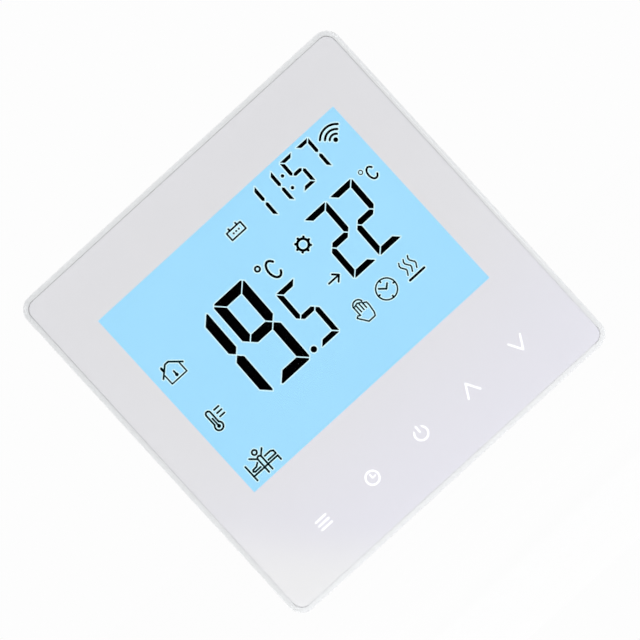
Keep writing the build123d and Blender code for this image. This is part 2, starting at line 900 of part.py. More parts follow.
def box_cover():
    """Lid of the power box, with the opening for the header and posts that hold the board."""
    lid = solid_between(tub_outline(-cover_step - FIT), flange_front, -frame_t)
    half_x = header_half_x + 0.4 + 2 * FIT
    half_z = header_half_z + 0.2 + 2 * FIT
    lid -= slab(-half_x, half_x, flange_front, -frame_t, header_up - half_z, header_up + half_z)
    for side in (-1, 1):
        for z in cover_post_zs:
            lid += rod(cover_post_radius, -frame_t, power_board_front, side * cover_post_x, z)
        for i in range(cover_vents):
            x = side * (cover_vent_x + i * cover_vent_pitch)
            vent = SlotOverall(cover_vent_long, cover_vent_wide, rotation=90)
            lid -= solid_between(Pos(x, cover_vent_z) * vent, flange_front, -frame_t)
    return lid


# ---- power board and its parts ----------------------------------------------------------------------
def bar_hole_z():
    return block_low() + block_z - block_rear_wall - 0.1 - bar_t / 2


def power_board():
    board = solid_between(tub_outline(-box_wall - 0.3), power_board_front, power_board_back)
    for x in way_xs:
        board -= rod(0.85, power_board_front, power_board_back, x, bar_hole_z())
    return board


def bulk_capacitors():
    """Two upright electrolytic cans with scored tops."""
    z = bulk_can_z
    foot = power_board_back + bulk_can_stand
    top = power_board_back + bulk_can_tall
    half = score_width / 2
    score = (top - score_depth, top + 1)
    cans = []
    for x in bulk_can_xs:
        can = rod(bulk_can_radius, foot, top, x, z)
        can = fillet(can.faces().sort_by(Axis.Y)[-1].edges(), 0.6)
        can -= slab(x - bulk_can_score, x + bulk_can_score, *score, z - half, z + half)
        can -= slab(x - half, x + half, *score, z - bulk_can_score, z + bulk_can_score)
        for side in (-bulk_lead_pitch / 2, bulk_lead_pitch / 2):
            can += rod(bulk_lead_radius, power_board_back, foot, x + side, z)
        cans.append(can)
    return cans


def filter_capacitor():
    """Boxed film capacitor across the mains."""
    half_x = film_long / 2
    half_z = film_wide / 2
    back = power_board_back + film_tall
    case = slab(film_x - half_x, film_x + half_x, power_board_back, back, film_z - half_z, film_z + half_z)
    return fillet(case.faces().sort_by(Axis.Y)[-1].edges(), 0.5)


side_row_x = box_width / 2 - box_wall - side_row_inset


def varistor():
    """Dipped disc on two leads."""
    y = power_board_back + varistor_stand
    disc = Pos(side_row_x, y, varistor_z) * Rot(0, 90, 0) * Cylinder(varistor_radius, varistor_t)
    disc = fillet(disc.edges(), 1.2)
    for side in (-varistor_lead_pitch / 2, varistor_lead_pitch / 2):
        disc += rod(varistor_lead_radius, power_board_back, y, side_row_x, varistor_z + side)
    return disc


def fuse():
    """Upright fuse cartridge on its caps."""
    foot = power_board_back
    top = foot + fuse_tall
    cartridge = rod(fuse_radius, foot + 0.3, top - 0.3, side_row_x, fuse_z)
    cartridge += rod(fuse_cap_radius, foot, foot + fuse_cap_length, side_row_x, fuse_z)
    return cartridge + rod(fuse_cap_radius, top - fuse_cap_length, top, side_row_x, fuse_z)


core_front = power_board_back + core_stand
core_back = core_front + core_tall


def transformer_core():
    """Ferrite core: a yoke above and below the winding, two outer limbs and a centre limb."""
    x, z = transformer_x, transformer_z
    half_x = core_wide / 2
    half_z = core_deep / 2
    core = slab(x - half_x, x + half_x, core_front, core_back, z - half_z, z + half_z)
    gap = half_x - core_limb
    window = (core_front + core_yoke, core_back - core_yoke)
    core -= slab(x - gap, x + gap, *window, z - half_z - 1, z + half_z + 1)
    return core + rod(core_post_radius, core_front, core_back, x, z)


def transformer_winding():
    """Taped winding on its bobbin, which stands on the board."""
    x, z = transformer_x, transformer_z
    front = core_front + core_yoke + bobbin_room
    back = core_back - core_yoke - bobbin_room
    wound_front = front + bobbin_flange_t
    wound_back = back - bobbin_flange_t
    flange = Pos(x, z) * rounded(bobbin_wide / 2, bobbin_deep / 2, 0.6)
    wound = Pos(x, z) * rounded(winding_wide / 2, winding_deep / 2, 1.6)
    winding = solid_between(wound, wound_front, wound_back)
    winding += solid_between(flange, front, wound_front)
    winding += solid_between(flange, wound_back, back)
    winding -= rod(core_post_radius + bobbin_room, core_front, core_back, x, z)
    half_x = bobbin_foot_wide / 2
    outer = bobbin_deep / 2
    inner = outer - bobbin_foot_deep
    for up in (-1, 1):
        a, b = sorted((up * inner, up * outer))
        winding += slab(x - half_x, x + half_x, power_board_back, front, z + a, z + b)
    return winding


# ---- relay ------------------------------------------------------------------------------------------
relay_left = box_wall + relay_margin - box_width / 2
relay_right = relay_left + relay_long
relay_high = relay_low + relay_wide
relay_top = power_board_back + relay_tall
relay_foot = power_board_back + 2 * FIT
relay_floor = relay_foot + relay_floor_t
coil_x = relay_left + coil_from_left
relay_z = relay_low + relay_wide / 2
pivot_x = relay_left + pivot_from_left
pivot_y = relay_top - armature_room
contact_x = relay_right - contact_in
contact_y = relay_floor + contact_up


def relay_cover():
    """Clear lid of the relay, open towards the board."""
    wall = relay_wall
    outer = slab(relay_left, relay_right, power_board_back + 0.1, relay_top, relay_low, relay_high)
    outer = fillet(outer.faces().sort_by(Axis.Y)[-1].edges(), 0.6)
    return outer - slab(
        relay_left + wall, relay_right - wall, power_board_back, relay_top - wall,
        relay_low + wall, relay_high - wall,
    )


def relay_base():
    """Moulded floor of the relay, with four feet on the board and a slot for the fixed contact."""
    gap = relay_wall + 0.1
    x0, x1 = relay_left + gap, relay_right - gap
    z0, z1 = relay_low + gap, relay_high - gap
    floor = slab(x0, x1, relay_foot, relay_floor, z0, z1)
    for x in (x0 + relay_foot_inset, x1 - relay_foot_inset):
        for z in (z0 + relay_foot_inset, z1 - relay_foot_inset):
            floor += rod(relay_foot_radius, power_board_back, relay_foot, x, z)
    return floor - contact_plate()


def contact_plate():
    """The stem of the fixed contact, which stands in the relay's floor."""
    half = contact_plate_wide / 2
    tip = relay_floor + contact_plate_tall
    return slab(contact_x, contact_x + contact_plate_t, relay_foot, tip, relay_z - half, relay_z + half)


def contact_button(x, thickness):
    """A contact button whose middle is at this x."""
    return Pos(x, contact_y, relay_z) * Rot(0, 90, 0) * Cylinder(contact_radius, thickness)


def relay_fixed_contact():
    return contact_plate() + contact_button(contact_x - fixed_contact_t / 2, fixed_contact_t)


def relay_yoke():
    """Iron frame and core of the relay's magnet, with a groove on its edge for the armature."""
    right = pivot_x + yoke_wall_t / 2
    low, high = relay_z - yoke_wide / 2, relay_z + yoke_wide / 2
    frame = slab(right - yoke_wall_t, right, relay_floor, pivot_y, low, high)
    frame += slab(coil_x - magnet_radius, right, relay_floor, relay_floor + yoke_floor_t, low, high)
    frame += rod(magnet_radius, relay_floor, pivot_y - magnet_drop, coil_x, relay_z)
    return frame - Pos(pivot_x, pivot_y, relay_z) * Cylinder(pivot_radius + RUNNING, yoke_wide + 1)


def relay_coil():
    """Bobbin with its winding, round the core."""
    low = relay_floor + yoke_floor_t
    high = pivot_y - coil_drop
    flange = Pos(coil_x, relay_z) * rounded(coil_flange_wide / 2, coil_flange_deep / 2, 0.8)
    coil = solid_between(flange, low, low + coil_flange_t)
    coil += solid_between(flange, high - coil_flange_t, high)
    coil += rod(coil_radius, low, high, coil_x, relay_z)
    return coil - rod(magnet_radius + RUNNING, low, high, coil_x, relay_z)


armature_front = pivot_y + armature_rise
armature_back = armature_front + armature_t


def relay_armature():
    """Iron plate that rocks on the yoke's edge; at rest it stands clear of the core."""
    low, high = relay_z - armature_wide / 2, relay_z + armature_wide / 2
    plate = slab(coil_x - 4.4, pivot_x + 1.2, armature_front, armature_back, low, high)
    ridge = Pos(pivot_x, pivot_y, relay_z) * Cylinder(pivot_radius, armature_wide)
    web = slab(pivot_x - 0.3, pivot_x + 0.3, pivot_y, armature_front, low, high)
    return plate + ridge + web


def relay_blade():
    """Contact spring on the armature, bent down to carry the moving contact."""
    reach = pivot_x + blade_reach
    back = armature_back + blade_t
    low, high = relay_z - blade_wide / 2, relay_z + blade_wide / 2
    blade = slab(coil_x - 3.0, reach, armature_back, back, low, high)
    blade += slab(reach - blade_t, reach, contact_y - 1.6, back, low, high)
    return blade + contact_button(reach + moving_contact_t / 2, moving_contact_t)


# ---- terminals --------------------------------------------------------------------------------------
def block_low():
    """Lowest face of the terminal block, where the wires enter."""
    return box_bottom + 0.4


pocket_width = way_pitch - partition
cage_width = pocket_width - 2 * FIT
wire_width = cage_width - 2 * cage_wall
cage_front = power_board_back + cage_lift
cage_floor = cage_front + cage_floor_t
bar_front = cage_floor + wire_height
bar_back = bar_front + bar_t
cage_head_front = bar_back + FIT
cage_head_back = cage_head_front + cage_head_t
lip_front = cage_head_back + terminal_travel + 0.2
lip_back = lip_front + lip_t
block_back = lip_back + terminal_head_t + well_margin
pocket_low = block_low() + block_front_wall
pocket_high = block_low() + block_z - block_rear_wall
cage_low = pocket_low + 0.5
cage_high = cage_low + cage_length
cage_middle = (cage_low + cage_high) / 2


def terminal_housing():
    """Moulded six-way block: cage pockets open to the board, wire entries below, screw wells behind."""
    half = block_width / 2
    body = slab(-half, half, power_board_back, block_back, block_low(), block_low() + block_z)
    for x in way_xs:
        side = pocket_width / 2
        body -= slab(x - side, x + side, power_board_back, lip_front, pocket_low, pocket_high)
        side = wire_width / 2
        body -= slab(x - side, x + side, cage_floor - 0.2, bar_front + 0.2, block_low(), pocket_low)
        body -= rod(terminal_shank + 0.2, lip_front, lip_back, x, cage_middle)
        body -= rod(well_radius, lip_back, block_back, x, cage_middle)
    return body


def current_bar(x):
    """Tinned bar above the wire, bent down to its pin in the board."""
    half = wire_width / 2 - bar_side_gap
    high = pocket_high - 0.1
    bar = slab(x - half, x + half, bar_front, bar_back, pocket_low + 0.2, high)
    bar += slab(x - half, x + half, power_board_back, bar_back, high - bar_t, high)
    return bar + slab(x - 0.6, x + 0.6, power_board_front - 0.4, power_board_back, high - bar_t, high)


def terminal_cage(x):
    """Rising cage, open all the way: its head is threaded on the screw and its floor lifts the wire."""
    side = cage_width / 2
    cage = slab(x - side, x + side, cage_front, cage_head_back, cage_low, cage_high)
    side = wire_width / 2
    cage -= slab(x - side, x + side, cage_floor, cage_head_front, cage_low, cage_high)
    return cage - rod(terminal_shank + RUNNING, cage_head_front, cage_head_back, x, cage_middle)


def terminal_screw(x):
    """Slotted captive screw: it turns on the bar and draws the cage up."""
    seat = lip_back + RUNNING
    back = seat + terminal_head_t
    head = rod(terminal_head_radius, seat, back, x, cage_middle)
    head = fillet(head.faces().sort_by(Axis.Y)[-1].edges(), 0.3)
    head -= slab(
        x - terminal_head_radius, x + terminal_head_radius, back - 0.8, back + 1,
        cage_middle - 0.35, cage_middle + 0.35,
    )
    return head + rod(terminal_shank, bar_back + RUNNING, seat, x, cage_middle)


# ---- write every node -------------------------------------------------------------------------------
def main():
    os.makedirs("parts", exist_ok=True)
    symbols = key_symbols()
    save("front_lens", front_lens())
    save("key_symbols", *symbols)
    save("printed_mask", printed_mask(symbols))
    save("lens_tape", lens_tape())
    save("front_shell", front_shell())
    save("lcd_front_glass", lcd_front_glass())
    save("lcd_rear_glass", lcd_rear_glass())
    save("lcd_connector", lcd_connector())
    save("backlight_diffuser", backlight_diffuser())
    save("backlight_guide", backlight_guide())
    save("backlight_holder", backlight_holder())
    save("panel_lamps", *panel_lamps())
    save("touch_springs", *[touch_spring(x) for x in key_xs])
    save("key_light_tubes", *[key_light_tube(x) for x in key_xs])
    save("display_board", display_board())
    screw = (display_head_radius, display_head_t, screw_shank, screw_length, board_back)
    save("display_screws", *[pan_screw(*screw, x, z) for x, z in boss_spots])
    save("display_chips", controller(), touch_chip())
    save("radio_board", radio_board())
    save("radio_shield", radio_shield())
    save("clock_cell", clock_cell())
    save("cell_clip", *cell_clip())
    save("buzzer", buzzer())
    save("room_sensor", room_sensor())
    save("header_pins", *header_pins())
    save("header_body", header_body())
    save("header_socket", header_socket())
    save("mounting_frame", mounting_frame())
    save("retaining_clips", *retaining_clips())
    save("rear_box", rear_box())
    save("box_cover", box_cover())
    save("box_screws", *[box_screw(x, z) for x, z in box_screw_spots()])
    save("power_board", power_board())
    save("bulk_capacitors", *bulk_capacitors())
    save("filter_capacitor", filter_capacitor())
    save("varistor", varistor())
    save("fuse", fuse())
    save("transformer_core", transformer_core())
    save("transformer_winding", transformer_winding())
    save("relay_cover", relay_cover())
    save("relay_base", relay_base())
    save("relay_fixed_contact", relay_fixed_contact())
    save("relay_yoke", relay_yoke())
    save("relay_coil", relay_coil())
    save("relay_armature", relay_armature())
    save("relay_blade", relay_blade())
    save("terminal_housing", terminal_housing())
    save("current_bars", *[current_bar(x) for x in way_xs])
    for number, x in enumerate(way_xs, start=1):
        save(f"terminal_screw_{number}", terminal_screw(x))
        save(f"terminal_cage_{number}", terminal_cage(x))


main()
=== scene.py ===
import math

import bmesh
import bpy
from mathutils import Matrix, Vector


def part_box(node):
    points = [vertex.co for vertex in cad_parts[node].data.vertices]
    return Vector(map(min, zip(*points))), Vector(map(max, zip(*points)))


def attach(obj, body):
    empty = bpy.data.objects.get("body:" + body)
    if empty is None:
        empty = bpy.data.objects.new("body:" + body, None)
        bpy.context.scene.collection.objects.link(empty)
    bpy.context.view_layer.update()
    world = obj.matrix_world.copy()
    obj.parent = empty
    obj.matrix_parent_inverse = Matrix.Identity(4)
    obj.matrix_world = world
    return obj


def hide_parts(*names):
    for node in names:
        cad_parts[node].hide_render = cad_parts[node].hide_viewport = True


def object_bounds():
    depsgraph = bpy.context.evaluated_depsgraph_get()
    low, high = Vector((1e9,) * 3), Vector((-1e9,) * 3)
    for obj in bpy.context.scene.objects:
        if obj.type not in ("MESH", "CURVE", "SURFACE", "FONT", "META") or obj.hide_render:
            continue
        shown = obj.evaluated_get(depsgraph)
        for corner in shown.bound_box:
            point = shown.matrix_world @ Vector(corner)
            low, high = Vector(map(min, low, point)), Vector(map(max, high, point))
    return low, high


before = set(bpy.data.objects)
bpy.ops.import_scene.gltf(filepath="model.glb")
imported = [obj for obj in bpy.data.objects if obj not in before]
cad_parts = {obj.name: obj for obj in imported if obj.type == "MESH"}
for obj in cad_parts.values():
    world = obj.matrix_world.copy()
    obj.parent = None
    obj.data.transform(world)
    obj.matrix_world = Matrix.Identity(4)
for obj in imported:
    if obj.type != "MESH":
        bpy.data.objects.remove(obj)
cad_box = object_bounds()


# ---- Steel frame ------------------------------------------
# The plate that is screwed to the wall box: 1 mm hot-dip galvanised sheet, blanked and folded on a press.
# The zinc shows flat crystals a few millimetres across, and faint lines from the rolls.
mm = 0.001


class Wire:
    """The output of a node, which can be reckoned with as a number."""

    def __init__(self, finish, socket):
        self.finish = finish
        self.socket = socket

    def reckon(self, operation, *values):
        return self.finish.node("ShaderNodeMath", {"operation": operation}, *values)

    def __add__(self, other):
        return self.reckon("ADD", self, other)

    def __sub__(self, other):
        return self.reckon("SUBTRACT", self, other)

    def __rsub__(self, other):
        return self.reckon("SUBTRACT", other, self)

    def __mul__(self, other):
        return self.reckon("MULTIPLY", self, other)

    def __truediv__(self, other):
        return self.reckon("DIVIDE", self, other)

    def __gt__(self, other):
        return self.reckon("GREATER_THAN", self, other)

    def __lt__(self, other):
        return self.reckon("LESS_THAN", self, other)

    def __abs__(self):
        return self.reckon("ABSOLUTE", self)

    __radd__ = __add__
    __rmul__ = __mul__


class Finish:
    """One finish: its shader, with what is the same all over, and the nodes that vary it."""

    def __init__(self, name, **sockets):
        self.material = bpy.data.materials.new(name)
        self.material.use_nodes = True
        self.tree = self.material.node_tree
        self.shader = self.tree.nodes["Principled BSDF"]
        for socket, value in sockets.items():
            self.join(self.shader.inputs, socket.replace("_", " "), value)
        self.place = self.node("ShaderNodeTexCoord", give="Object")

    def pick(self, sockets, key):
        if isinstance(key, int):
            return sockets[key]
        same = [one for one in sockets if one.identifier == key]
        return same[0] if same else sockets[key]

    def join(self, sockets, key, value):
        socket = self.pick(sockets, key)
        if isinstance(value, Wire):
            self.tree.links.new(value.socket, socket)
        elif isinstance(value, tuple) and socket.type == "RGBA":
            socket.default_value = (*value, 1.0)
        else:
            socket.default_value = value

    def node(self, kind, settings=None, *values, give=0, **named):
        """Adds a node: its settings first, then the values or wires of its sockets."""
        made = self.tree.nodes.new(kind)
        for key, value in (settings or {}).items():
            setattr(made, key, value)
        for key, value in [*enumerate(values), *named.items()]:
            self.join(made.inputs, key, value)
        return Wire(self, self.pick(made.outputs, give))

    def blend(self, amount, first, second):
        sockets = {"Factor_Float": amount, "A_Color": first, "B_Color": second}
        return self.node("ShaderNodeMix", {"data_type": "RGBA"}, give="Result_Color", **sockets)

    def noise(self, size, detail=3.0, stretch=(1.0, 1.0, 1.0)):
        """Soft mottling with patches of about the given size, drawn out along an axis by stretch."""
        where = self.node("ShaderNodeMapping", Vector=self.place, Scale=tuple(1 / s for s in stretch))
        return self.node("ShaderNodeTexNoise", Vector=where, Scale=1 / size, Detail=detail)

    def axis(self, name):
        return self.node("ShaderNodeSeparateXYZ", None, self.place, give=name)

    def feed(self, socket, value):
        self.join(self.shader.inputs, socket, value)

    def vary(self, amount, dark, light, smooth, rough):
        """Varies the colour and the roughness by the same amount, each between its two ends."""
        self.feed("Base Color", self.blend(amount, dark, light))
        self.feed("Roughness", smooth + amount * (rough - smooth))

    def relief(self, height, depth):
        self.feed("Normal", self.node("ShaderNodeBump", Height=height, Distance=depth))


def dress(finish, *nodes):
    """Gives CAD nodes a finish."""
    for name in nodes:
        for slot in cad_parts[name].material_slots:
            slot.material = finish.material


crystal_size = 5 * mm

zinc = Finish("galvanised sheet", Metallic=1.0)
crystal = zinc.node("ShaderNodeTexVoronoi", Vector=zinc.place, Scale=1 / crystal_size, give="Color")
facet = zinc.node("ShaderNodeSeparateColor", None, crystal)
rolled = zinc.noise(0.2 * mm, stretch=(60.0, 1.0, 1.0))
zinc.feed("Base Color", zinc.blend(facet * 0.6 + rolled * 0.4, (0.5, 0.52, 0.54), (0.72, 0.74, 0.76)))
zinc.feed("Roughness", 0.3 + facet * 0.16 + rolled * 0.1)
zinc.relief(rolled, 0.004 * mm)
dress(zinc, "mounting_frame")

# ---- Clips ------------------------------------------------
# Four bows of stainless spring strip, spot-welded to the frame's tabs. The display unit snaps over them.
# Strip of this kind is rolled bright, with fine lines along its length.
strip_steel = Finish("spring strip", Metallic=1.0)
lines = strip_steel.noise(0.08 * mm, stretch=(1.0, 40.0, 1.0))
strip_steel.vary(lines, (0.5, 0.49, 0.47), (0.66, 0.65, 0.62), 0.18, 0.32)
dress(strip_steel, "retaining_clips")

# ---- Power box --------------------------------------------
# The box that goes into the wall and its lid, moulded in white flame-retardant polycarbonate blend.
# The mould is spark-eroded, so the faces have a fine even grain; they yellow a little and pick up dust.
box_white = (0.82, 0.82, 0.8)
box_shade = (0.74, 0.74, 0.71)

box_plastic = Finish("grained white plastic", IOR=1.57)
grain = box_plastic.noise(0.12 * mm, detail=2.0)
cloud = box_plastic.noise(9 * mm)
box_plastic.feed("Base Color", box_plastic.blend(cloud * 0.8 + grain * 0.2, box_shade, box_white))
box_plastic.feed("Roughness", 0.42 + grain * 0.16)
box_plastic.relief(grain, 0.012 * mm)
dress(box_plastic, "rear_box", "box_cover")

# ---- Screws -----------------------------------------------
# Cross-head machine and self-tapping screws, cold-headed and bright zinc plated.
# The plating is slightly cloudy, and darker down in the recesses where the barrel didn't reach.
bright_zinc = Finish("bright zinc plate", Metallic=1.0)
plating = bright_zinc.noise(0.5 * mm)
bright_zinc.vary(plating, (0.58, 0.6, 0.64), (0.8, 0.82, 0.85), 0.16, 0.34)
terminal_screws = [f"terminal_screw_{way}" for way in range(1, 7)]
dress(bright_zinc, "box_screws", "display_screws", *terminal_screws)

# ---- Circuit boards ---------------------------------------
# Glass laminate 1.2 and 1.6 mm thick, etched, coated with green resist and routed out of a panel.
# The resist is glossy, with the weave of the glass just showing; the routed edges are bare and yellower.
resist_green = (0.012, 0.14, 0.055)
resist_light = (0.02, 0.2, 0.08)
weave_pitch = 0.45 * mm

resist = Finish("green resist", IOR=1.5, Coat_Weight=0.4, Coat_Roughness=0.08)
weave_x = resist.axis("X").reckon("SINE", resist.axis("X") * (2 * math.pi / weave_pitch))
weave_z = resist.axis("Z").reckon("SINE", resist.axis("Z") * (2 * math.pi / weave_pitch))
weave = weave_x * weave_z * 0.5 + 0.5
flow = resist.noise(3 * mm)
resist.feed("Base Color", resist.blend(weave * 0.35 + flow * 0.65, resist_green, resist_light))
resist.feed("Roughness", 0.22 + flow * 0.15)
resist.relief(weave, 0.003 * mm)
dress(resist, "display_board", "power_board")

# ---- Power parts ------------------------------------------
# What stands on the power board. The electrolytic cans are aluminium in a shrunk sleeve, with a bare scored
# top and a pale stripe down the negative side.
can_low, can_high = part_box("bulk_capacitors")
can_radius = (can_high.z - can_low.z) / 2
can_xs = (can_low.x + can_radius, can_high.x - can_radius)
can_z = (can_low.z + can_high.z) / 2

sleeve = Finish("sleeved can", IOR=1.5)
along = sleeve.axis("X")
up = sleeve.axis("Z")
near = abs(along - can_xs[0]).reckon("MINIMUM", abs(along - can_xs[0]), abs(along - can_xs[1]))
across = abs(up - can_z)
inside = (near * near + across * across) < (can_radius * 0.82) ** 2
bare = inside * (sleeve.axis("Y") > can_high.y - 0.7 * mm)
stripe = (near < 1.3 * mm) * (up > can_z)
scuff = sleeve.noise(0.6 * mm)
dark = sleeve.blend(scuff, (0.012, 0.016, 0.03), (0.03, 0.035, 0.055))
sleeved = sleeve.blend(stripe, dark, (0.5, 0.52, 0.55))
sleeve.feed("Base Color", sleeve.blend(bare, sleeved, (0.72, 0.73, 0.74)))
sleeve.feed("Metallic", bare)
sleeve.feed("Roughness", 0.24 + scuff * 0.14)
dress(sleeve, "bulk_capacitors")

# The film capacitor is a moulded box filled with resin, the varistor a disc dipped in epoxy powder,
# which flows to an uneven glossy skin.
yellow_box = Finish("yellow capacitor case", IOR=1.5)
speck = yellow_box.noise(0.3 * mm)
yellow_box.vary(speck, (0.62, 0.42, 0.02), (0.75, 0.53, 0.04), 0.36, 0.5)
yellow_box.relief(speck, 0.01 * mm)
dress(yellow_box, "filter_capacitor")

dipped = Finish("dipped blue coating", IOR=1.55)
sag = dipped.noise(1.2 * mm)
leads = dipped.axis("Y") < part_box("varistor")[0].y + 0.7 * mm
blue = dipped.blend(sag, (0.015, 0.1, 0.38), (0.03, 0.16, 0.5))
dipped.feed("Base Color", dipped.blend(leads, blue, (0.7, 0.7, 0.68)))
dipped.feed("Metallic", leads)
dipped.feed("Roughness", 0.16 + sag * 0.12)
dipped.relief(sag, 0.12 * mm)
dress(dipped, "varistor")

# The fuse is a glass tube between two pressed caps, seen here as one cartridge in its clips.
fuse_low, fuse_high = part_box("fuse")
cap_length = 2.2 * mm

cartridge = Finish("fuse cartridge", IOR=1.5)
height = cartridge.axis("Y")
capped = (height < fuse_low.y + cap_length) + (height > fuse_high.y - cap_length)
wire = abs(cartridge.axis("X") - (fuse_low.x + fuse_high.x) / 2) < 0.12 * mm
glassy = cartridge.blend(wire, (0.55, 0.6, 0.6), (0.2, 0.2, 0.2))
cartridge.feed("Base Color", cartridge.blend(capped, glassy, (0.72, 0.71, 0.68)))
cartridge.feed("Metallic", capped)
cartridge.feed("Roughness", 0.08 + cartridge.noise(0.5 * mm) * 0.14)
dress(cartridge, "fuse")

# The transformer has a sintered ferrite core, dull dark grey, round a winding taped in yellow polyester
# on a black bobbin.
ferrite = Finish("sintered ferrite")
grit = ferrite.noise(0.15 * mm)
ferrite.vary(grit, (0.035, 0.035, 0.038), (0.075, 0.073, 0.075), 0.5, 0.7)
ferrite.relief(grit, 0.02 * mm)
dress(ferrite, "transformer_core")

winding_low, winding_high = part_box("transformer_winding")
taped = Finish("taped winding", IOR=1.5)
height = taped.axis("Y")
tape = (height > winding_low.y + 4.6 * mm) * (height < winding_high.y - 1.0 * mm)
wrinkle = taped.noise(0.5 * mm, stretch=(1.0, 0.4, 1.0))
yellow = taped.blend(wrinkle, (0.62, 0.45, 0.02), (0.78, 0.62, 0.06))
taped.feed("Base Color", taped.blend(tape, (0.02, 0.02, 0.022), yellow))
taped.feed("Roughness", 0.28 + wrinkle * 0.2)
taped.relief(wrinkle, 0.03 * mm)
dress(taped, "transformer_winding")

# ---- Relay ------------------------------------------------
# The relay's case is moulded in translucent blue; inside are an iron yoke and rocking armature, a winding
# of enamelled wire and a blade and post of copper alloy with silver contacts.
case_blue = Finish("blue relay case", IOR=1.5)
mould = case_blue.noise(0.2 * mm)
case_blue.vary(mould, (0.02, 0.07, 0.22), (0.03, 0.1, 0.3), 0.25, 0.37)
case_blue.relief(mould, 0.006 * mm)
dress(case_blue, "relay_cover")

iron = Finish("plated soft iron", Metallic=1.0)
tumble = iron.noise(0.4 * mm)
iron.vary(tumble, (0.42, 0.41, 0.39), (0.6, 0.59, 0.56), 0.28, 0.46)
dress(iron, "relay_yoke", "relay_armature")

coil_low, coil_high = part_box("relay_coil")
flange_t = 0.9 * mm
wire_pitch = 0.16 * mm
coil = Finish("enamelled winding", IOR=1.5)
height = coil.axis("Y")
turns = height.reckon("SINE", height * (2 * math.pi / wire_pitch)) * 0.5 + 0.5
wound = (height > coil_low.y + flange_t) * (height < coil_high.y - flange_t)
copper = coil.blend(turns, (0.2, 0.06, 0.015), (0.55, 0.22, 0.07))
coil.feed("Base Color", coil.blend(wound, (0.03, 0.03, 0.03), copper))
coil.feed("Metallic", wound * 0.8)
coil.feed("Roughness", 0.45 - wound * 0.15)
coil.relief(turns * wound, 0.04 * mm)
dress(coil, "relay_coil")

alloy = Finish("contact alloy", Metallic=1.0)
drawn = alloy.noise(0.1 * mm, stretch=(1.0, 20.0, 1.0))
alloy.vary(drawn, (0.62, 0.34, 0.18), (0.78, 0.48, 0.28), 0.22, 0.36)
dress(alloy, "relay_blade", "relay_fixed_contact")

# ---- Header -----------------------------------------------
# The plug and socket between the two units: black glass-filled nylon, and square pins with a gold flash.
# Glass-filled nylon has a satin surface with short pale fibres in it.
nylon = Finish("black nylon", IOR=1.53)
fibre = nylon.noise(0.12 * mm, detail=4.0)
nylon.vary(fibre, (0.012, 0.012, 0.013), (0.04, 0.04, 0.042), 0.4, 0.58)
nylon.relief(fibre, 0.01 * mm)
dress(nylon, "header_body", "header_socket", "relay_base")

gold = Finish("gold flash", Metallic=1.0)
flash = gold.noise(0.3 * mm)
gold.vary(flash, (0.72, 0.48, 0.16), (0.9, 0.66, 0.28), 0.14, 0.28)
dress(gold, "header_pins")

# ---- Terminal block ---------------------------------------
# Six ways in one moulding of green polyamide, with a tinned bar and a plated rising cage in each.
# The moulding is satin, with a slight flow pattern spreading from the gate.
block_green = Finish("green polyamide", IOR=1.53)
flow = block_green.noise(2.5 * mm, stretch=(3.0, 1.0, 1.0))
grain = block_green.noise(0.15 * mm)
cloudy = flow * 0.7 + grain * 0.3
block_green.feed("Base Color", block_green.blend(cloudy, (0.02, 0.17, 0.08), (0.035, 0.24, 0.12)))
block_green.feed("Roughness", 0.36 + grain * 0.14)
block_green.relief(grain, 0.01 * mm)
dress(block_green, "terminal_housing")

tinned = Finish("tinned brass", Metallic=1.0)
dip = tinned.noise(0.7 * mm)
tinned.vary(dip, (0.6, 0.58, 0.53), (0.78, 0.76, 0.71), 0.22, 0.42)
tinned.relief(dip, 0.01 * mm)
dress(tinned, "current_bars")

nickel = Finish("nickel plate", Metallic=1.0)
barrel = nickel.noise(0.5 * mm)
nickel.vary(barrel, (0.62, 0.6, 0.55), (0.8, 0.78, 0.72), 0.18, 0.34)
terminal_cages = [f"terminal_cage_{way}" for way in range(1, 7)]
dress(nickel, *terminal_cages)

# ---- Way numbers ------------------------------------------
# The ways are numbered 1 to 6 on the back of the block, in white pad print.
# The figures stand a few hundredths of a millimetre on the plastic.
figure_height = 2.0 * mm
figure_t = 0.04 * mm
block_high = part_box("terminal_housing")[1]


def finish_piece(piece_name, shape, finish, body):
    """Makes a piece of a finished bmesh, puts its finish on it and lets it ride on its body."""
    mesh = bpy.data.meshes.new(piece_name)
    shape.to_mesh(mesh)
    shape.free()
    mesh.materials.append(finish.material)
    piece = bpy.data.objects.new(piece_name, mesh)
    bpy.context.scene.collection.objects.link(piece)
    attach(piece, body)
    return piece


white_print = Finish("white pad print", IOR=1.5)
ink = white_print.noise(0.2 * mm)
white_print.vary(ink, (0.74, 0.74, 0.72), (0.86, 0.86, 0.84), 0.4, 0.6)

numbers = bmesh.new()
for way in range(1, 7):
    screw_low, screw_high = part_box(f"terminal_screw_{way}")
    figure = bpy.data.curves.new(f"figure_{way}", "FONT")
    figure.body = str(way)
    figure.size = figure_height * 1.4
    figure.align_x = "CENTER"
    figure.extrude = figure_t / 2
    holder = bpy.data.objects.new(f"figure_{way}", figure)
    flat = bpy.data.meshes.new_from_object(holder)
    facing_back = Matrix(((-1, 0, 0), (0, 0, 1), (0, 1, 0))).to_4x4()
    middle = (screw_low.x + screw_high.x) / 2
    spot = Matrix.Translation((middle, block_high.y + figure_t / 2, block_high.z - figure_height - 0.5 * mm))
    flat.transform(spot @ facing_back)
    numbers.from_mesh(flat)
    bpy.data.objects.remove(holder)
    bpy.data.meshes.remove(flat)
finish_piece("way_numbers", numbers, white_print, "power_box")

# ---- Display shell ----------------------------------------
# The housing of the display unit, moulded in white ABS with a fine satin grain on its walls.
# Only its sides and the narrow rim round the print are seen in use.
shell_white = (0.93, 0.935, 0.94)
shell_shade = (0.88, 0.885, 0.89)

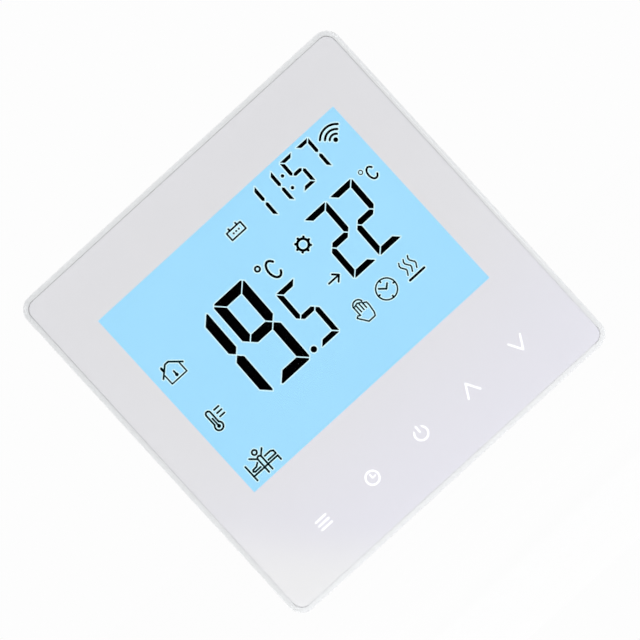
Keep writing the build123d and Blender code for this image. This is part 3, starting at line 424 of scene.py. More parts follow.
shell_plastic = Finish("satin white ABS", IOR=1.52)
grain = shell_plastic.noise(0.1 * mm, detail=2.0)
cloud = shell_plastic.noise(12 * mm)
shell_plastic.feed("Base Color", shell_plastic.blend(cloud * 0.7 + grain * 0.3, shell_shade, shell_white))
shell_plastic.feed("Roughness", 0.36 + grain * 0.14)
shell_plastic.relief(grain, 0.006 * mm)
dress(shell_plastic, "front_shell")

# ---- Backlight --------------------------------------------
# A white reflecting tray holds a clear guide and a matt film. Three lamps shine into the guide's edge,
# and one more stands behind each key inside a white tube.
tray_white = Finish("reflecting white plastic", IOR=1.55)
sheen = tray_white.noise(4 * mm)
tray_white.vary(sheen, (0.84, 0.85, 0.85), (0.92, 0.92, 0.92), 0.25, 0.35)
dress(tray_white, "backlight_holder", "key_light_tubes", "backlight_diffuser")

lit_guide = Finish("lit guide", IOR=1.49, Emission_Strength=0.6)
dots = lit_guide.node("ShaderNodeTexVoronoi", Vector=lit_guide.place, Scale=1 / (0.8 * mm))
lit_guide.feed("Base Color", lit_guide.blend(dots, (0.55, 0.75, 0.9), (0.8, 0.9, 1.0)))
lit_guide.feed("Emission Color", lit_guide.blend(dots, (0.35, 0.65, 0.95), (0.6, 0.85, 1.0)))
lit_guide.feed("Roughness", 0.1 + dots * 0.1)
dress(lit_guide, "backlight_guide")

lamp = Finish("lamp phosphor", IOR=1.5, Emission_Strength=1.5)
phosphor = lamp.noise(0.1 * mm)
lamp.feed("Base Color", lamp.blend(phosphor, (0.8, 0.62, 0.12), (0.9, 0.74, 0.2)))
lamp.feed("Emission Color", lamp.blend(phosphor, (0.75, 0.9, 1.0), (0.85, 0.95, 1.0)))
lamp.feed("Roughness", 0.4 + phosphor * 0.2)
dress(lamp, "panel_lamps")

# ---- Display cell -----------------------------------------
# Two thin glasses with the liquid crystal between them. Lit from behind, the rear one shows an even pale
# blue; the front one is clear and stands a tenth of a millimetre off here, with the image in the gap.
crystal_gap = 0.1 * mm
cell_blue = (0.36, 0.735, 0.995)
cell_pale = (0.37, 0.745, 1.0)
cell_low, cell_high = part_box("lcd_front_glass")

lit_cell = Finish("lit display", Roughness=0.5, Emission_Strength=1.12)
drift = lit_cell.noise(14 * mm, detail=1.0)
lit_cell.feed("Base Color", lit_cell.blend(drift, (0.01, 0.02, 0.03), (0.015, 0.025, 0.035)))
lit_cell.feed("Emission Color", lit_cell.blend(drift, cell_blue, cell_pale))
dress(lit_cell, "lcd_rear_glass")


def clear_finish(name, ior, tint):
    """A clear material that bends what is seen through it and lets the lamps' light straight past."""
    finish = Finish(name, IOR=ior, Transmission_Weight=1.0)
    faint = finish.noise(20 * mm, detail=1.0)
    finish.feed("Base Color", finish.blend(faint, tint, (1.0, 1.0, 1.0)))
    finish.feed("Roughness", faint * 0.02)
    path = finish.node("ShaderNodeLightPath", give="Is Shadow Ray")
    spread = finish.node("ShaderNodeLightPath", give="Is Diffuse Ray")
    past = finish.node("ShaderNodeBsdfTransparent")
    through = path.reckon("MAXIMUM", path, spread)
    mixed = finish.node("ShaderNodeMixShader", None, through, Wire(finish, finish.shader.outputs[0]), past)
    finish.tree.links.new(mixed.socket, finish.tree.nodes["Material Output"].inputs["Surface"])
    return finish


def plate(shape, low, high, corner=0.0, edge=0.0):
    """A flat plate seen from the front: rounded corners, and a rounded rim on its front face."""
    made = bmesh.ops.create_cube(shape, size=1.0)
    corners = made["verts"]
    bmesh.ops.scale(shape, vec=high - low, verts=corners)
    bmesh.ops.translate(shape, vec=(high + low) / 2, verts=corners)
    soft = {"affect": "EDGES", "profile": 0.5, "material": -1, "clamp_overlap": True}
    if corner:
        upright = [e for e in shape.edges if abs(e.verts[0].co.y - e.verts[1].co.y) > 1e-9]
        bmesh.ops.bevel(shape, geom=upright, offset=corner, segments=16, **soft)
    if edge:
        rim = [e for e in shape.edges if all(abs(v.co.y - low.y) < 1e-9 for v in e.verts)]
        bmesh.ops.bevel(shape, geom=rim, offset=edge, segments=8, **soft)
    front = [f for f in shape.faces if f.normal.y < -0.999]
    bmesh.ops.inset_region(shape, faces=front, thickness=0.05 * mm)
    for face in shape.faces:
        face.smooth = edge > 0 and abs(face.normal.y) < 0.999


cell_glass = clear_finish("cell glass", 1.52, (0.97, 0.99, 1.0))
sheet = bmesh.new()
plate(sheet, cell_low, Vector((cell_high.x, cell_high.y - crystal_gap, cell_high.z)))
front_cell = finish_piece("display_front_glass", sheet, cell_glass, "display_unit")
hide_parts("lcd_front_glass")

# The rubber connector under the cell: silicone with a stripe of carbon every tenth of a millimetre.
striped = Finish("striped rubber", IOR=1.42)
across = striped.axis("X")
carbon = across.reckon("SINE", across * (2 * math.pi / (0.1 * mm))) > 0.0
dust = striped.noise(0.4 * mm)
striped.feed("Base Color", striped.blend(carbon, (0.55, 0.54, 0.5), (0.03, 0.03, 0.03)))
striped.feed("Roughness", 0.55 + dust * 0.2)
dress(striped, "lcd_connector")

# ---- Display image ----------------------------------------
# What the cell shows: the room at 19.5, the setting at 22, the time, and small plain pictures. Each lit
# segment is a dark patch with a thin pale fringe round it, which is painted glow.
ink_t = 0.012 * mm
image_front = cell_high.y - 0.075 * mm
fringe_front = cell_high.y - 0.045 * mm
fringe_out = 0.28
segment_gap = 0.24
segment_lean = math.tan(math.radians(1.4))

segment_ink = Finish("dark segment", Specular_IOR_Level=0.0)
depth_of_dark = segment_ink.noise(1.5 * mm)
darkest = segment_ink.blend(depth_of_dark, (0.0004, 0.0004, 0.0006), (0.0012, 0.0012, 0.0016))
segment_ink.feed("Base Color", darkest)
segment_ink.feed("Roughness", 0.7 + depth_of_dark * 0.1)

line_ink = Finish("fine dark line", Specular_IOR_Level=0.0)
depth_of_dark = line_ink.noise(1.0 * mm)
line_ink.vary(depth_of_dark, (0.002, 0.016, 0.02), (0.004, 0.03, 0.036), 0.7, 0.8)

# Painted glow: the fringe gives off its own pale light, a painted halo round the marks.
fringe_painted_glow = Finish("pale fringe", Roughness=0.5, Emission_Strength=1.12)
glow_mottle = fringe_painted_glow.noise(0.6 * mm)
fringe_painted_glow.feed("Base Color", fringe_painted_glow.blend(glow_mottle, (0.02, 0.02, 0.02), (0.03, 0.03, 0.03)))
fringe_painted_glow.feed("Emission Color", fringe_painted_glow.blend(glow_mottle, (0.6, 0.88, 0.97), (0.68, 0.93, 0.99)))


def flat_face(shape, points):
    """A flat face from its corners, given in millimetres from the middle of the panel."""
    face = shape.faces.new([shape.verts.new((x * mm, 0, z * mm)) for x, z in points])
    face.normal_update()
    return face


def resize(shape, face, by):
    """Moves the outline of a flat face out by a distance, or in where it is negative."""
    ring = bmesh.ops.inset_individual(shape, faces=[face], thickness=-by, use_even_offset=True)
    bmesh.ops.delete(shape, geom=ring["faces"], context="FACES")


def thicken(shape, front, depth):
    """Turns flat faces drawn at depth 0 into closed plates of the given depth, from the given front."""
    grown = bmesh.ops.extrude_face_region(shape, geom=list(shape.faces), use_keep_orig=True)
    back = [part for part in grown["geom"] if isinstance(part, bmesh.types.BMVert)]
    bmesh.ops.translate(shape, vec=(0, depth, 0), verts=back)
    bmesh.ops.translate(shape, vec=(0, front, 0), verts=shape.verts)
    bmesh.ops.recalc_face_normals(shape, faces=shape.faces)


LIT = {"1": "bc", "2": "abdeg", "5": "acdfg", "7": "abc", "9": "abcdfg"}


def digit(shape, figure, right, top, width, height, stroke, grown):
    """One seven-segment figure, placed by its upper right corner, in millimetres."""
    w, h, t = width + segment_gap, height + segment_gap, stroke + segment_gap
    mid, blunt = h / 2, 0.3 * t
    tip = (w - blunt / 2, blunt / 2)
    side = [(w, blunt), (w, mid - t / 2), (w - t / 2, mid), (w - t, mid - t / 2), (w - t, t), tip]
    cap = [(blunt, 0), (w - blunt, 0), tip, (w - t, t), (t, t), (blunt / 2, blunt / 2)]
    half_bar = [(t / 2, mid), (t, mid - t / 2), (w - t, mid - t / 2)]
    drawn = {
        "a": cap,
        "b": side,
        "c": [(x, h - y) for x, y in side],
        "d": [(x, h - y) for x, y in cap],
        "e": [(w - x, h - y) for x, y in side],
        "f": [(w - x, y) for x, y in side],
        "g": half_bar + [(w - x, h - y) for x, y in half_bar],
    }
    left, up = right + segment_gap / 2 - w, top + segment_gap / 2
    for name in LIT[figure]:
        face = flat_face(shape, [(left + x - y * segment_lean, up - y) for x, y in drawn[name]])
        resize(shape, face, (grown - segment_gap / 2) * mm)


def dot(shape, x, z, radius):
    turn = Matrix.Translation((x * mm, 0, z * mm)) @ Matrix.Rotation(math.pi / 2, 4, "X")
    bmesh.ops.create_circle(shape, cap_ends=True, radius=radius * mm, segments=16, matrix=turn)


def pen(shape, points, width):
    """A line through points, round at its ends and corners, in millimetres."""
    half = width / 2
    for (x0, z0), (x1, z1) in zip(points, points[1:]):
        length = math.hypot(x1 - x0, z1 - z0)
        dx, dz = (x1 - x0) / length * half, (z1 - z0) / length * half
        flat_face(shape, [(x0 - dz, z0 + dx), (x1 - dz, z1 + dx), (x1 + dz, z1 - dx), (x0 + dz, z0 - dx)])
    for x, z in points:
        dot(shape, x, z, half)


def oval(x, z, wide, high, start=0.0, stop=360.0, steps=24):
    """Points round an ellipse; angles run anticlockwise from the right."""
    turns = [math.radians(start + (stop - start) * step / steps) for step in range(steps + 1)]
    return [(x + wide * math.cos(turn), z + high * math.sin(turn)) for turn in turns]


def draw_readings(shape, grown=0.0):
    """The figures: room temperature, setting and time."""
    for figure, right, top, width, height, stroke in (
        ("1", -14.96, 16.4, 8.4, 21.4, 2.1),
        ("9", -4.85, 16.4, 8.4, 21.4, 2.1),
        ("5", 3.0, 9.4, 5.1, 14.3, 1.1),
        ("2", 18.35, 16.6, 6.0, 15.7, 1.27),
        ("2", 25.35, 16.6, 6.0, 15.7, 1.27),
        ("1", 9.6, 28.7, 3.35, 7.7, 0.74),
        ("1", 14.1, 28.7, 3.35, 7.7, 0.74),
        ("5", 19.9, 28.7, 3.35, 7.7, 0.74),
        ("7", 24.4, 28.7, 3.35, 7.7, 0.74),
    ):
        digit(shape, figure, right, top, width, height, stroke, grown)


def draw_marks(shape, grown=0.0):
    """Point, colon, degree signs, signal, gear, heater bar, calendar and pointer."""
    wide = 2 * grown
    for x, z, radius in ((-3.83, -4.08, 0.67), (15.28, 26.34, 0.37), (15.19, 23.2, 0.37), (28.3, 24.48, 0.5)):
        dot(shape, x, z, radius + grown)
    pen(shape, oval(-1.3, 15.75, 0.52, 0.52), 0.42 + wide)
    pen(shape, oval(1.12, 13.55, 1.17, 1.95, 38, 322), 0.52 + wide)
    pen(shape, oval(29.25, 14.55, 0.88, 1.38, 38, 322), 0.42 + wide)
    for radius in (1.35, 2.32, 3.35):
        pen(shape, oval(28.3, 24.3, radius, radius, 43, 137, 10), 0.48 + wide)
    pen(shape, oval(8.95, 13.18, 1.2, 1.2), 0.55 + wide)
    for tooth in range(8):
        turn = math.radians(45 * tooth)
        reach = [(8.95 + r * math.cos(turn), 13.18 + r * math.sin(turn)) for r in (1.3, 1.58)]
        pen(shape, reach, 0.55 + wide)
    pen(shape, [(20.15, -6.95), (24.05, -6.95)], 0.5 + wide)
    pen(shape, [(-1.1, 25.3), (-1.1, 23.5), (2.6, 23.5), (2.6, 25.3), (-1.1, 25.3)], 0.36 + wide)
    for x in (-0.2, 1.7):
        pen(shape, [(x, 25.8), (x, 25.3)], 0.4 + wide)
    for x in (0.05, 0.75, 1.45):
        dot(shape, x, 24.4, 0.22 + grown)
    pen(shape, [(7.5, 3.7), (10.2, 3.7)], 0.42 + wide)
    pen(shape, [(9.2, 4.7), (10.2, 3.7), (9.2, 2.7)], 0.42 + wide)


def draw_pictures(shape, grown=0.0):
    """House, thermometer, bed and sleeper, hand, clock and rising heat."""
    fine = 0.32 + 2 * grown
    bold = 0.4 + 2 * grown
    pen(shape, [(-30.6, 12.1), (-28.4, 14.1), (-27.5, 14.1), (-25.25, 12.1)], bold)
    pen(shape, [(-29.93, 12.4), (-29.93, 10.15), (-25.93, 10.15), (-25.93, 12.4)], fine)
    pen(shape, [(-29.5, 14.0), (-29.5, 13.3)], 0.55 + 2 * grown)
    pen(shape, [(-27.93, 11.9), (-27.93, 11.1)], 0.4 + 2 * grown)
    dot(shape, -27.93, 10.95, 0.38 + grown)
    pen(shape, oval(-28.65, 0.6, 0.55, 0.6, 0, 180), bold)
    pen(shape, [(-29.2, 0.6), (-29.2, -1.9)], bold)
    pen(shape, [(-28.1, 0.6), (-28.1, -1.9)], bold)
    pen(shape, oval(-28.65, -2.6, 0.9, 0.9, 128, 412), bold)
    pen(shape, [(-28.65, -2.6), (-28.65, -0.6)], 0.4 + 2 * grown)
    dot(shape, -28.65, -2.6, 0.42 + grown)
    for rung in (0.5, -0.4, -1.3):
        pen(shape, [(-27.2, rung), (-26.0, rung)], bold)
    pen(shape, [(-30.36, -12.4), (-30.36, -16.1)], bold)
    pen(shape, [(-30.36, -15.07), (-23.86, -15.07), (-23.86, -16.1)], bold)
    pillow_top = [(-27.95, -13.4), (-28.65, -13.9), (-29.6, -13.95), (-29.8, -14.25)]
    pen(shape, [*pillow_top, (-29.5, -14.5), (-28.0, -14.5)], bold)
    quilt = [(-25.9, -13.4), (-24.4, -13.4), (-23.85, -13.75), (-23.85, -14.5), (-25.9, -14.5)]
    pen(shape, quilt, bold)
    pen(shape, oval(-27.0, -11.45, 0.52, 0.52), bold)
    pen(shape, [(-28.7, -11.75), (-27.5, -12.85)], bold)
    pen(shape, [(-25.3, -11.75), (-26.45, -12.85)], bold)
    pen(shape, [(-27.43, -16.4), *oval(-26.95, -13.1, 0.48, 0.55, 180, 0, 8), (-26.47, -16.4)], bold)
    pen(shape, oval(15.43, -5.0, 2.25, 2.25), fine)
    for quarter in range(4):
        turn = math.radians(90 * quarter)
        tick = [(15.43 + r * math.cos(turn), -5.0 + r * math.sin(turn)) for r in (1.85, 2.1)]
        pen(shape, tick, bold)
    pen(shape, [(14.25, -3.9), (15.43, -4.95), (16.3, -4.2)], bold)
    for wave in range(3):
        x = 20.75 + 1.2 * wave
        upper = [(x, -2.85), (x - 0.32, -3.35), (x - 0.3, -3.8)]
        lower = [(x + 0.3, -4.7), (x + 0.3, -5.1), (x - 0.2, -5.9)]
        pen(shape, upper + lower, fine)
    pen(shape, oval(8.93, -3.6, 1.15, 1.15, 12, 168, 12), fine)
    pen(shape, [(8.15, -3.35), (8.93, -3.1), (9.6, -3.45)], fine)
    palm = [(7.86, -3.45), (7.86, -5.4), (7.4, -5.15), (6.95, -5.4), (8.35, -7.45), (10.05, -7.45)]
    pen(shape, [*palm, (10.4, -6.8), (10.65, -5.0), (10.6, -4.2), (10.1, -3.9)], fine)
    for x in (8.5, 9.2, 9.87):
        pen(shape, [(x, -3.5), (x, -5.0)], fine)
    pen(shape, oval(27.53, 16.13, 0.42, 0.42), 0.22 + 2 * grown)


for piece_name, draw, finish, front, grown in (
    ("lit_segments", draw_readings, segment_ink, image_front, 0.0),
    ("lit_marks", draw_marks, segment_ink, image_front, 0.0),
    ("fine_pictures", draw_pictures, line_ink, image_front, 0.0),
    ("segment_fringe", draw_readings, fringe_painted_glow, fringe_front, fringe_out),
    ("mark_fringe", draw_marks, fringe_painted_glow, fringe_front, fringe_out),
    ("picture_fringe", draw_pictures, fringe_painted_glow, fringe_front, fringe_out * 0.8),
):
    image = bmesh.new()
    draw(image, grown)
    thicken(image, front, ink_t)
    finish_piece(piece_name, image, finish, "display_unit")

# ---- Touch springs ----------------------------------------
# Five coils of spring wire between the print and the board, one behind each key. They are bright nickel
# plated, with fine lines from drawing.
spring_wire = Finish("plated spring wire", Metallic=1.0)
die_lines = spring_wire.noise(0.06 * mm)
spring_wire.vary(die_lines, (0.66, 0.62, 0.54), (0.82, 0.78, 0.7), 0.16, 0.32)
dress(spring_wire, "touch_springs")

# ---- Chips on the display board ---------------------------
# The controller and the touch chip are moulded in black epoxy, with tinned leads pressed out flat on the
# board. The moulding is matt, with a small polished dimple at the first lead.
chips_low, chips_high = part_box("display_chips")
controller_side = 7 * mm
controller_reach = 1 * mm
touch_chip_width = 4 * mm
touch_chip_right = 4 * mm
controller_x = chips_high.x - controller_reach - controller_side / 2
controller_z = chips_low.z + controller_reach + controller_side / 2
touch_chip_z = controller_z - 0.5 * mm

epoxy = Finish("black chip epoxy", IOR=1.5)
across = epoxy.axis("X")
up = epoxy.axis("Z")
is_controller = across > (touch_chip_right + controller_x - controller_side) / 2
off_x = abs(across - controller_x)
off_z = abs(up - controller_z)
square_off = off_x.reckon("MAXIMUM", off_x, off_z) > controller_side / 2
strip_off = abs(up - touch_chip_z) > touch_chip_width / 2
tinned_lead = is_controller * square_off + (1.0 - is_controller) * strip_off
dimple_x = across - (controller_x + controller_side * 0.38)
dimple_z = up - (controller_z + controller_side * 0.38)
dimple = (dimple_x * dimple_x + dimple_z * dimple_z) < (0.45 * mm) ** 2
powder = epoxy.noise(0.08 * mm, detail=4.0)
black = epoxy.blend(powder, (0.012, 0.012, 0.013), (0.035, 0.035, 0.037))
epoxy.feed("Base Color", epoxy.blend(tinned_lead, black, (0.72, 0.71, 0.69)))
epoxy.feed("Metallic", tinned_lead)
epoxy.feed("Roughness", 0.5 + powder * 0.15 - dimple * 0.3)
epoxy.relief(powder - dimple * 0.8, 0.02 * mm)
dress(epoxy, "display_chips")

# ---- Radio module -----------------------------------------
# A small board of its own in black resist, with a tin-plated steel can over its chips and an open end
# that carries the printed aerial. It is soldered down by its plated edge notches.
radio_low, radio_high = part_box("radio_board")
shield_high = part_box("radio_shield")[1]

black_resist = Finish("black resist", IOR=1.5, Coat_Weight=0.3, Coat_Roughness=0.12)
flow = black_resist.noise(2 * mm)
black_resist.vary(flow, (0.008, 0.012, 0.022), (0.02, 0.026, 0.042), 0.28, 0.42)
dress(black_resist, "radio_board")

tin_can = Finish("tinned can", Metallic=1.0)
mill = tin_can.noise(0.12 * mm, stretch=(1.0, 1.0, 30.0))
smear = tin_can.noise(4 * mm)
tin_can.feed("Base Color", tin_can.blend(smear * 0.6 + mill * 0.4, (0.6, 0.6, 0.59), (0.78, 0.77, 0.75)))
tin_can.feed("Roughness", 0.24 + mill * 0.18)
tin_can.relief(mill, 0.004 * mm)
dress(tin_can, "radio_shield")

aerial_width = 0.7
aerial_rungs = 5
aerial_inset = 1.6
copper_t = 0.035 * mm
aerial_low = (shield_high.z + 0.9 * mm) / mm
aerial_high = (radio_high.z - 1.1 * mm) / mm
aerial_left = radio_low.x / mm + aerial_inset
aerial_step = (radio_high.x - radio_low.x) / mm - 2 * aerial_inset
track = [(aerial_left, aerial_low)]
for rung in range(aerial_rungs + 1):
    x = aerial_left + aerial_step * rung / aerial_rungs
    ends = (aerial_low, aerial_high) if rung % 2 == 0 else (aerial_high, aerial_low)
    track += [(x, z) for z in ends if (x, z) != track[-1]]
aerial = bmesh.new()
pen(aerial, track, aerial_width)
thicken(aerial, radio_high.y, copper_t)
finish_piece("radio_aerial", aerial, gold, "display_unit")

solder = Finish("solder", Metallic=1.0)
cooled = solder.noise(0.15 * mm)
solder.vary(cooled, (0.62, 0.62, 0.62), (0.82, 0.82, 0.81), 0.18, 0.38)
solder.relief(cooled, 0.01 * mm)


def bead(shape, x, y, z, half):
    """A drop of solder: an ellipsoid of the given half sizes, with its lower half in the board."""
    shaped = Matrix.Translation((x, y, z)) @ Matrix.Diagonal((*half, 1.0))
    bmesh.ops.create_uvsphere(shape, u_segments=12, v_segments=8, radius=1.0, matrix=shaped)


notch_count = 8
notch_pitch = 1.9 * mm
notches = bmesh.new()
for side in (radio_low.x, radio_high.x):
    for number in range(notch_count):
        z = radio_low.z + 1.6 * mm + number * notch_pitch
        bead(notches, side, radio_low.y, z, (0.45 * mm, 0.7 * mm, 0.42 * mm))
finish_piece("radio_solder", notches, solder, "display_unit")

# ---- Coin cell and clip -----------------------------------
# The cell is a drawn stainless can, brushed in rings as it was turned; the strap over it and the contact
# under it are nickel-plated spring strip.
coin_low, coin_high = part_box("clock_cell")
coin_x = (coin_low.x + coin_high.x) / 2
coin_z = (coin_low.z + coin_high.z) / 2
ring_pitch = 0.09 * mm

coin = Finish("brushed stainless", Metallic=1.0)
out_x = coin.axis("X") - coin_x
out_z = coin.axis("Z") - coin_z
reach = out_x.reckon("SQRT", out_x * out_x + out_z * out_z)
rings = reach.reckon("SINE", reach * (2 * math.pi / ring_pitch)) * 0.5 + 0.5
haze = coin.noise(2 * mm)
coin.feed("Base Color", coin.blend(haze, (0.56, 0.56, 0.55), (0.7, 0.7, 0.69)))
coin.feed("Roughness", 0.22 + rings * 0.14 + haze * 0.06)
coin.relief(rings, 0.002 * mm)
dress(coin, "clock_cell")

strap = Finish("nickel-plated strip", Metallic=1.0)
rolled = strap.noise(0.1 * mm, stretch=(30.0, 1.0, 1.0))
strap.vary(rolled, (0.62, 0.59, 0.53), (0.78, 0.75, 0.69), 0.2, 0.36)
dress(strap, "cell_clip")

# ---- Sounder and room sensor ------------------------------
# The sounder is a cup of black thermoplastic with a hole in its lid. The sensor is a thermistor bead
# dipped in dark epoxy, held clear of the board on two tinned leads.
cup = Finish("black sounder cup", IOR=1.52)
spark = cup.noise(0.1 * mm)
cup.vary(spark, (0.014, 0.014, 0.015), (0.04, 0.04, 0.042), 0.38, 0.54)
cup.relief(spark, 0.012 * mm)
dress(cup, "buzzer")

sensor_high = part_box("room_sensor")[1]
bead_size = 2.2 * mm
dipped_bead = Finish("dipped bead", IOR=1.55)
lead = dipped_bead.axis("Y") < sensor_high.y - bead_size
skin = dipped_bead.noise(0.4 * mm)
dark = dipped_bead.blend(skin, (0.02, 0.016, 0.014), (0.06, 0.045, 0.035))
dipped_bead.feed("Base Color", dipped_bead.blend(lead, dark, (0.7, 0.69, 0.66)))
dipped_bead.feed("Metallic", lead)
dipped_bead.feed("Roughness", 0.15 + skin * 0.12)
dipped_bead.relief(skin, 0.04 * mm)
dress(dipped_bead, "room_sensor")

# ---- Small parts on the display board ---------------------
# Chip resistors and capacitors 1.6 mm long, with tinned ends, and a can that holds the clock crystal.
# They are placed by machine and reflowed, so they stand square on the board's wall side.
chip_long = 1.6
chip_wide = 0.8
chip_end = 0.3
resistor_t = 0.45
capacitor_t = 0.8
board_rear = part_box("display_board")[1].y
key_pitch = 13.45
key_row = -31.5
key_chip_out = 3.0  # each side of a key's middle
keys_low, keys_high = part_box("key_symbols")
middle_key = (keys_low.x + keys_high.x) / 2 / mm
key_centres = [middle_key + key_pitch * number for number in range(-2, 3)]


def brick(shape, x, z, wide, high, tall):
    """A block standing on the board's wall side, with its top edges a little rounded, in millimetres."""
    made = bmesh.ops.create_cube(shape, size=1.0)["verts"]
    bmesh.ops.scale(shape, vec=(wide * mm, tall * mm, high * mm), verts=made)
    bmesh.ops.translate(shape, vec=(x * mm, board_rear + tall * mm / 2, z * mm), verts=made)
    top = board_rear + tall * mm
    rim = {e for v in made for e in v.link_edges if all(abs(w.co.y - top) < 1e-9 for w in e.verts)}
    bmesh.ops.bevel(
        shape, geom=list(rim), offset=0.08 * mm, segments=2, profile=0.5, affect="EDGES", clamp_overlap=True,
    )


def chip_row(body, ends, spots, upright, tall):
    """Chips at the given places, lying across or upright, with a tinned end on both sides of each."""
    between = chip_long - 2 * chip_end
    for x, z in spots:
        brick(body, x, z, *((chip_wide, between) if upright else (between, chip_wide)), tall)
        for side in (-1, 1):
            shift = side * (chip_long - chip_end) / 2
            place = (x, z + shift) if upright else (x + shift, z)
            size = (chip_wide + 0.04, chip_end) if upright else (chip_end, chip_wide + 0.04)
            brick(ends, *place, *size, tall + 0.02)


resistor_bodies = bmesh.new()
capacitor_bodies = bmesh.new()
chip_ends = bmesh.new()
above_controller = [(8.0 + 1.7 * i, -18.0) for i in range(8)]
above_header = [(-5.0 + 2.0 * i, 9.5) for i in range(6)]
left_of_keys = [(x - key_chip_out, key_row) for x in key_centres]
right_of_keys = [(x + key_chip_out, key_row) for x in key_centres]
beside_radio = [(-18.0, 2.0 * i) for i in range(8)]
beside_controller = [(7.4, -22.5 - 2.0 * i) for i in range(3)]
chip_row(resistor_bodies, chip_ends, above_controller, True, resistor_t)
chip_row(resistor_bodies, chip_ends, left_of_keys, True, resistor_t)
chip_row(resistor_bodies, chip_ends, above_header, True, resistor_t)
chip_row(capacitor_bodies, chip_ends, right_of_keys, True, capacitor_t)
chip_row(capacitor_bodies, chip_ends, beside_radio, False, capacitor_t)
chip_row(capacitor_bodies, chip_ends, beside_controller, False, capacitor_t)

resistor_glaze = Finish("black resistor glaze", IOR=1.5)
glaze = resistor_glaze.noise(0.2 * mm)
resistor_glaze.vary(glaze, (0.01, 0.01, 0.012), (0.03, 0.03, 0.034), 0.2, 0.32)
finish_piece("chip_resistors", resistor_bodies, resistor_glaze, "display_unit")

ceramic = Finish("fired ceramic", IOR=1.6)
fired = ceramic.noise(0.2 * mm)
ceramic.vary(fired, (0.32, 0.2, 0.11), (0.45, 0.3, 0.18), 0.45, 0.6)
finish_piece("chip_capacitors", capacitor_bodies, ceramic, "display_unit")
finish_piece("chip_ends", chip_ends, solder, "display_unit")

crystal_can = bmesh.new()
brick(crystal_can, 22.6, -25.5, 3.2, 5.0, 1.2)
finish_piece("clock_crystal", crystal_can, tin_can, "display_unit")

# ---- Tracks and marks on the display board ----------------
# The copper under the resist stands a little proud and looks lighter: power and signal tracks from the
# header to the chips, the radio, the cell and the keys. Outlines of the larger parts are printed in white.
track_t = 0.03 * mm
legend_t = 0.04 * mm
legend_width = 0.15
track_width = 0.35
thin_track = 0.25
power_track = 0.9

raised = Finish("resist over copper", IOR=1.5, Coat_Weight=0.4, Coat_Roughness=0.08)
flow = raised.noise(3 * mm)
raised.vary(flow, (0.03, 0.24, 0.09), (0.045, 0.31, 0.12), 0.22, 0.37)

tracks = bmesh.new()
lane_pitch = 0.8
for lane in range(6):
    over = lane_pitch * lane
    from_header = [(1.0 + over, 0.7), (1.0 + over, -6.0)]
    to_controller = [(11.7 + over, -16.7), (11.7 + over, -21.0)]
    pen(tracks, from_header + to_controller, track_width)
lead_pitch = 1.27
first_lead = -5.445
for lane in range(4):
    x = -12.0 - lane_pitch * lane
    z = -12.0 - 0.2 * lane
    lead = first_lead + lead_pitch * (3 - lane)
    bends = [(-21.8, 9.0 - 2.0 * lane), (x, 9.0 - 2.0 * lane), (x, z), (lead, z + x - lead), (lead, -22.8)]
    pen(tracks, bends, track_width)
for number, (x, lane) in enumerate(zip(key_centres, (-30.0, -30.4, -30.3, -30.5, -30.2))):
    lead = first_lead + lead_pitch * number
    beside = x - key_chip_out
    pen(tracks, [(lead, -29.2), (lead, lane), (beside, lane), (beside, key_row + chip_long / 2)], thin_track)
    low_end = key_row - chip_long / 2
    pen(tracks, [(beside, low_end), (x - 2.2, low_end), (x, key_row)], thin_track)
pen(tracks, [(7.2, 4.0), (15.6, 4.0), (17.6, 6.0), (19.6, 6.0)], power_track)
pen(tracks, [(-23.4, -12.0), (-17.0, -12.0), (-17.0, -14.5), (-8.6, -22.9), (-7.0, -22.9)], track_width)
pen(tracks, [(-30.55, -35.0), (-30.55, -27.0), (-28.55, -25.0), (-7.0, -25.0)], thin_track)
thicken(tracks, board_rear, track_t)
finish_piece("board_tracks", tracks, raised, "display_unit")


def outline(shape, low_x, high_x, low_z, high_z):
    """A printed rectangle round a part, in millimetres."""
    corners = [(low_x, low_z), (high_x, low_z), (high_x, high_z), (low_x, high_z), (low_x, low_z)]
    pen(shape, corners, legend_width)


legend = bmesh.new()
outline(legend, -38.6, -21.4, -2.6, 22.6)
outline(legend, -6.9, 6.9, 0.9, 7.1)
pen(legend, oval(27.0, 6.0, 8.2, 8.2, steps=48), legend_width)
pen(legend, oval(-28.0, -12.0, 5.2, 5.2, steps=40), legend_width)
pen(legend, oval(controller_x / mm + 4.9, controller_z / mm + 4.9, 0.2, 0.2, steps=12), 2 * legend_width)
pen(legend, [(-6.6, -28.4), (-6.6, -23.6)], legend_width)
pen(legend, [(4.6, -28.4), (4.6, -23.6)], legend_width)
outline(legend, 20.5, 24.7, -28.5, -22.5)
for x in key_centres:
    pen(legend, oval(x, key_row, 1.9, 1.9, steps=32), legend_width)
thicken(legend, board_rear, legend_t)
finish_piece("board_legend", legend, white_print, "display_unit")

# ---- Print ------------------------------------------------
# The back of the lens is screen printed in two passes: a pale grey-white mask, and the five symbols in a
# white that lets the lamps through. The mask's colour holds a painted reflection, a little cooler towards the
# keys, and a painted highlight towards its lower left corner. Die-cut tape holds it on the shell.
mask_low, mask_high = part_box("printed_mask")
bond_line = 0.02 * mm
mask_height = mask_high.z - mask_low.z
upper_grey = (0.87, 0.865, 0.89)
reflected_blue_grey = (0.88, 0.87, 0.94)
highlight_grey = (0.95, 0.945, 0.955)

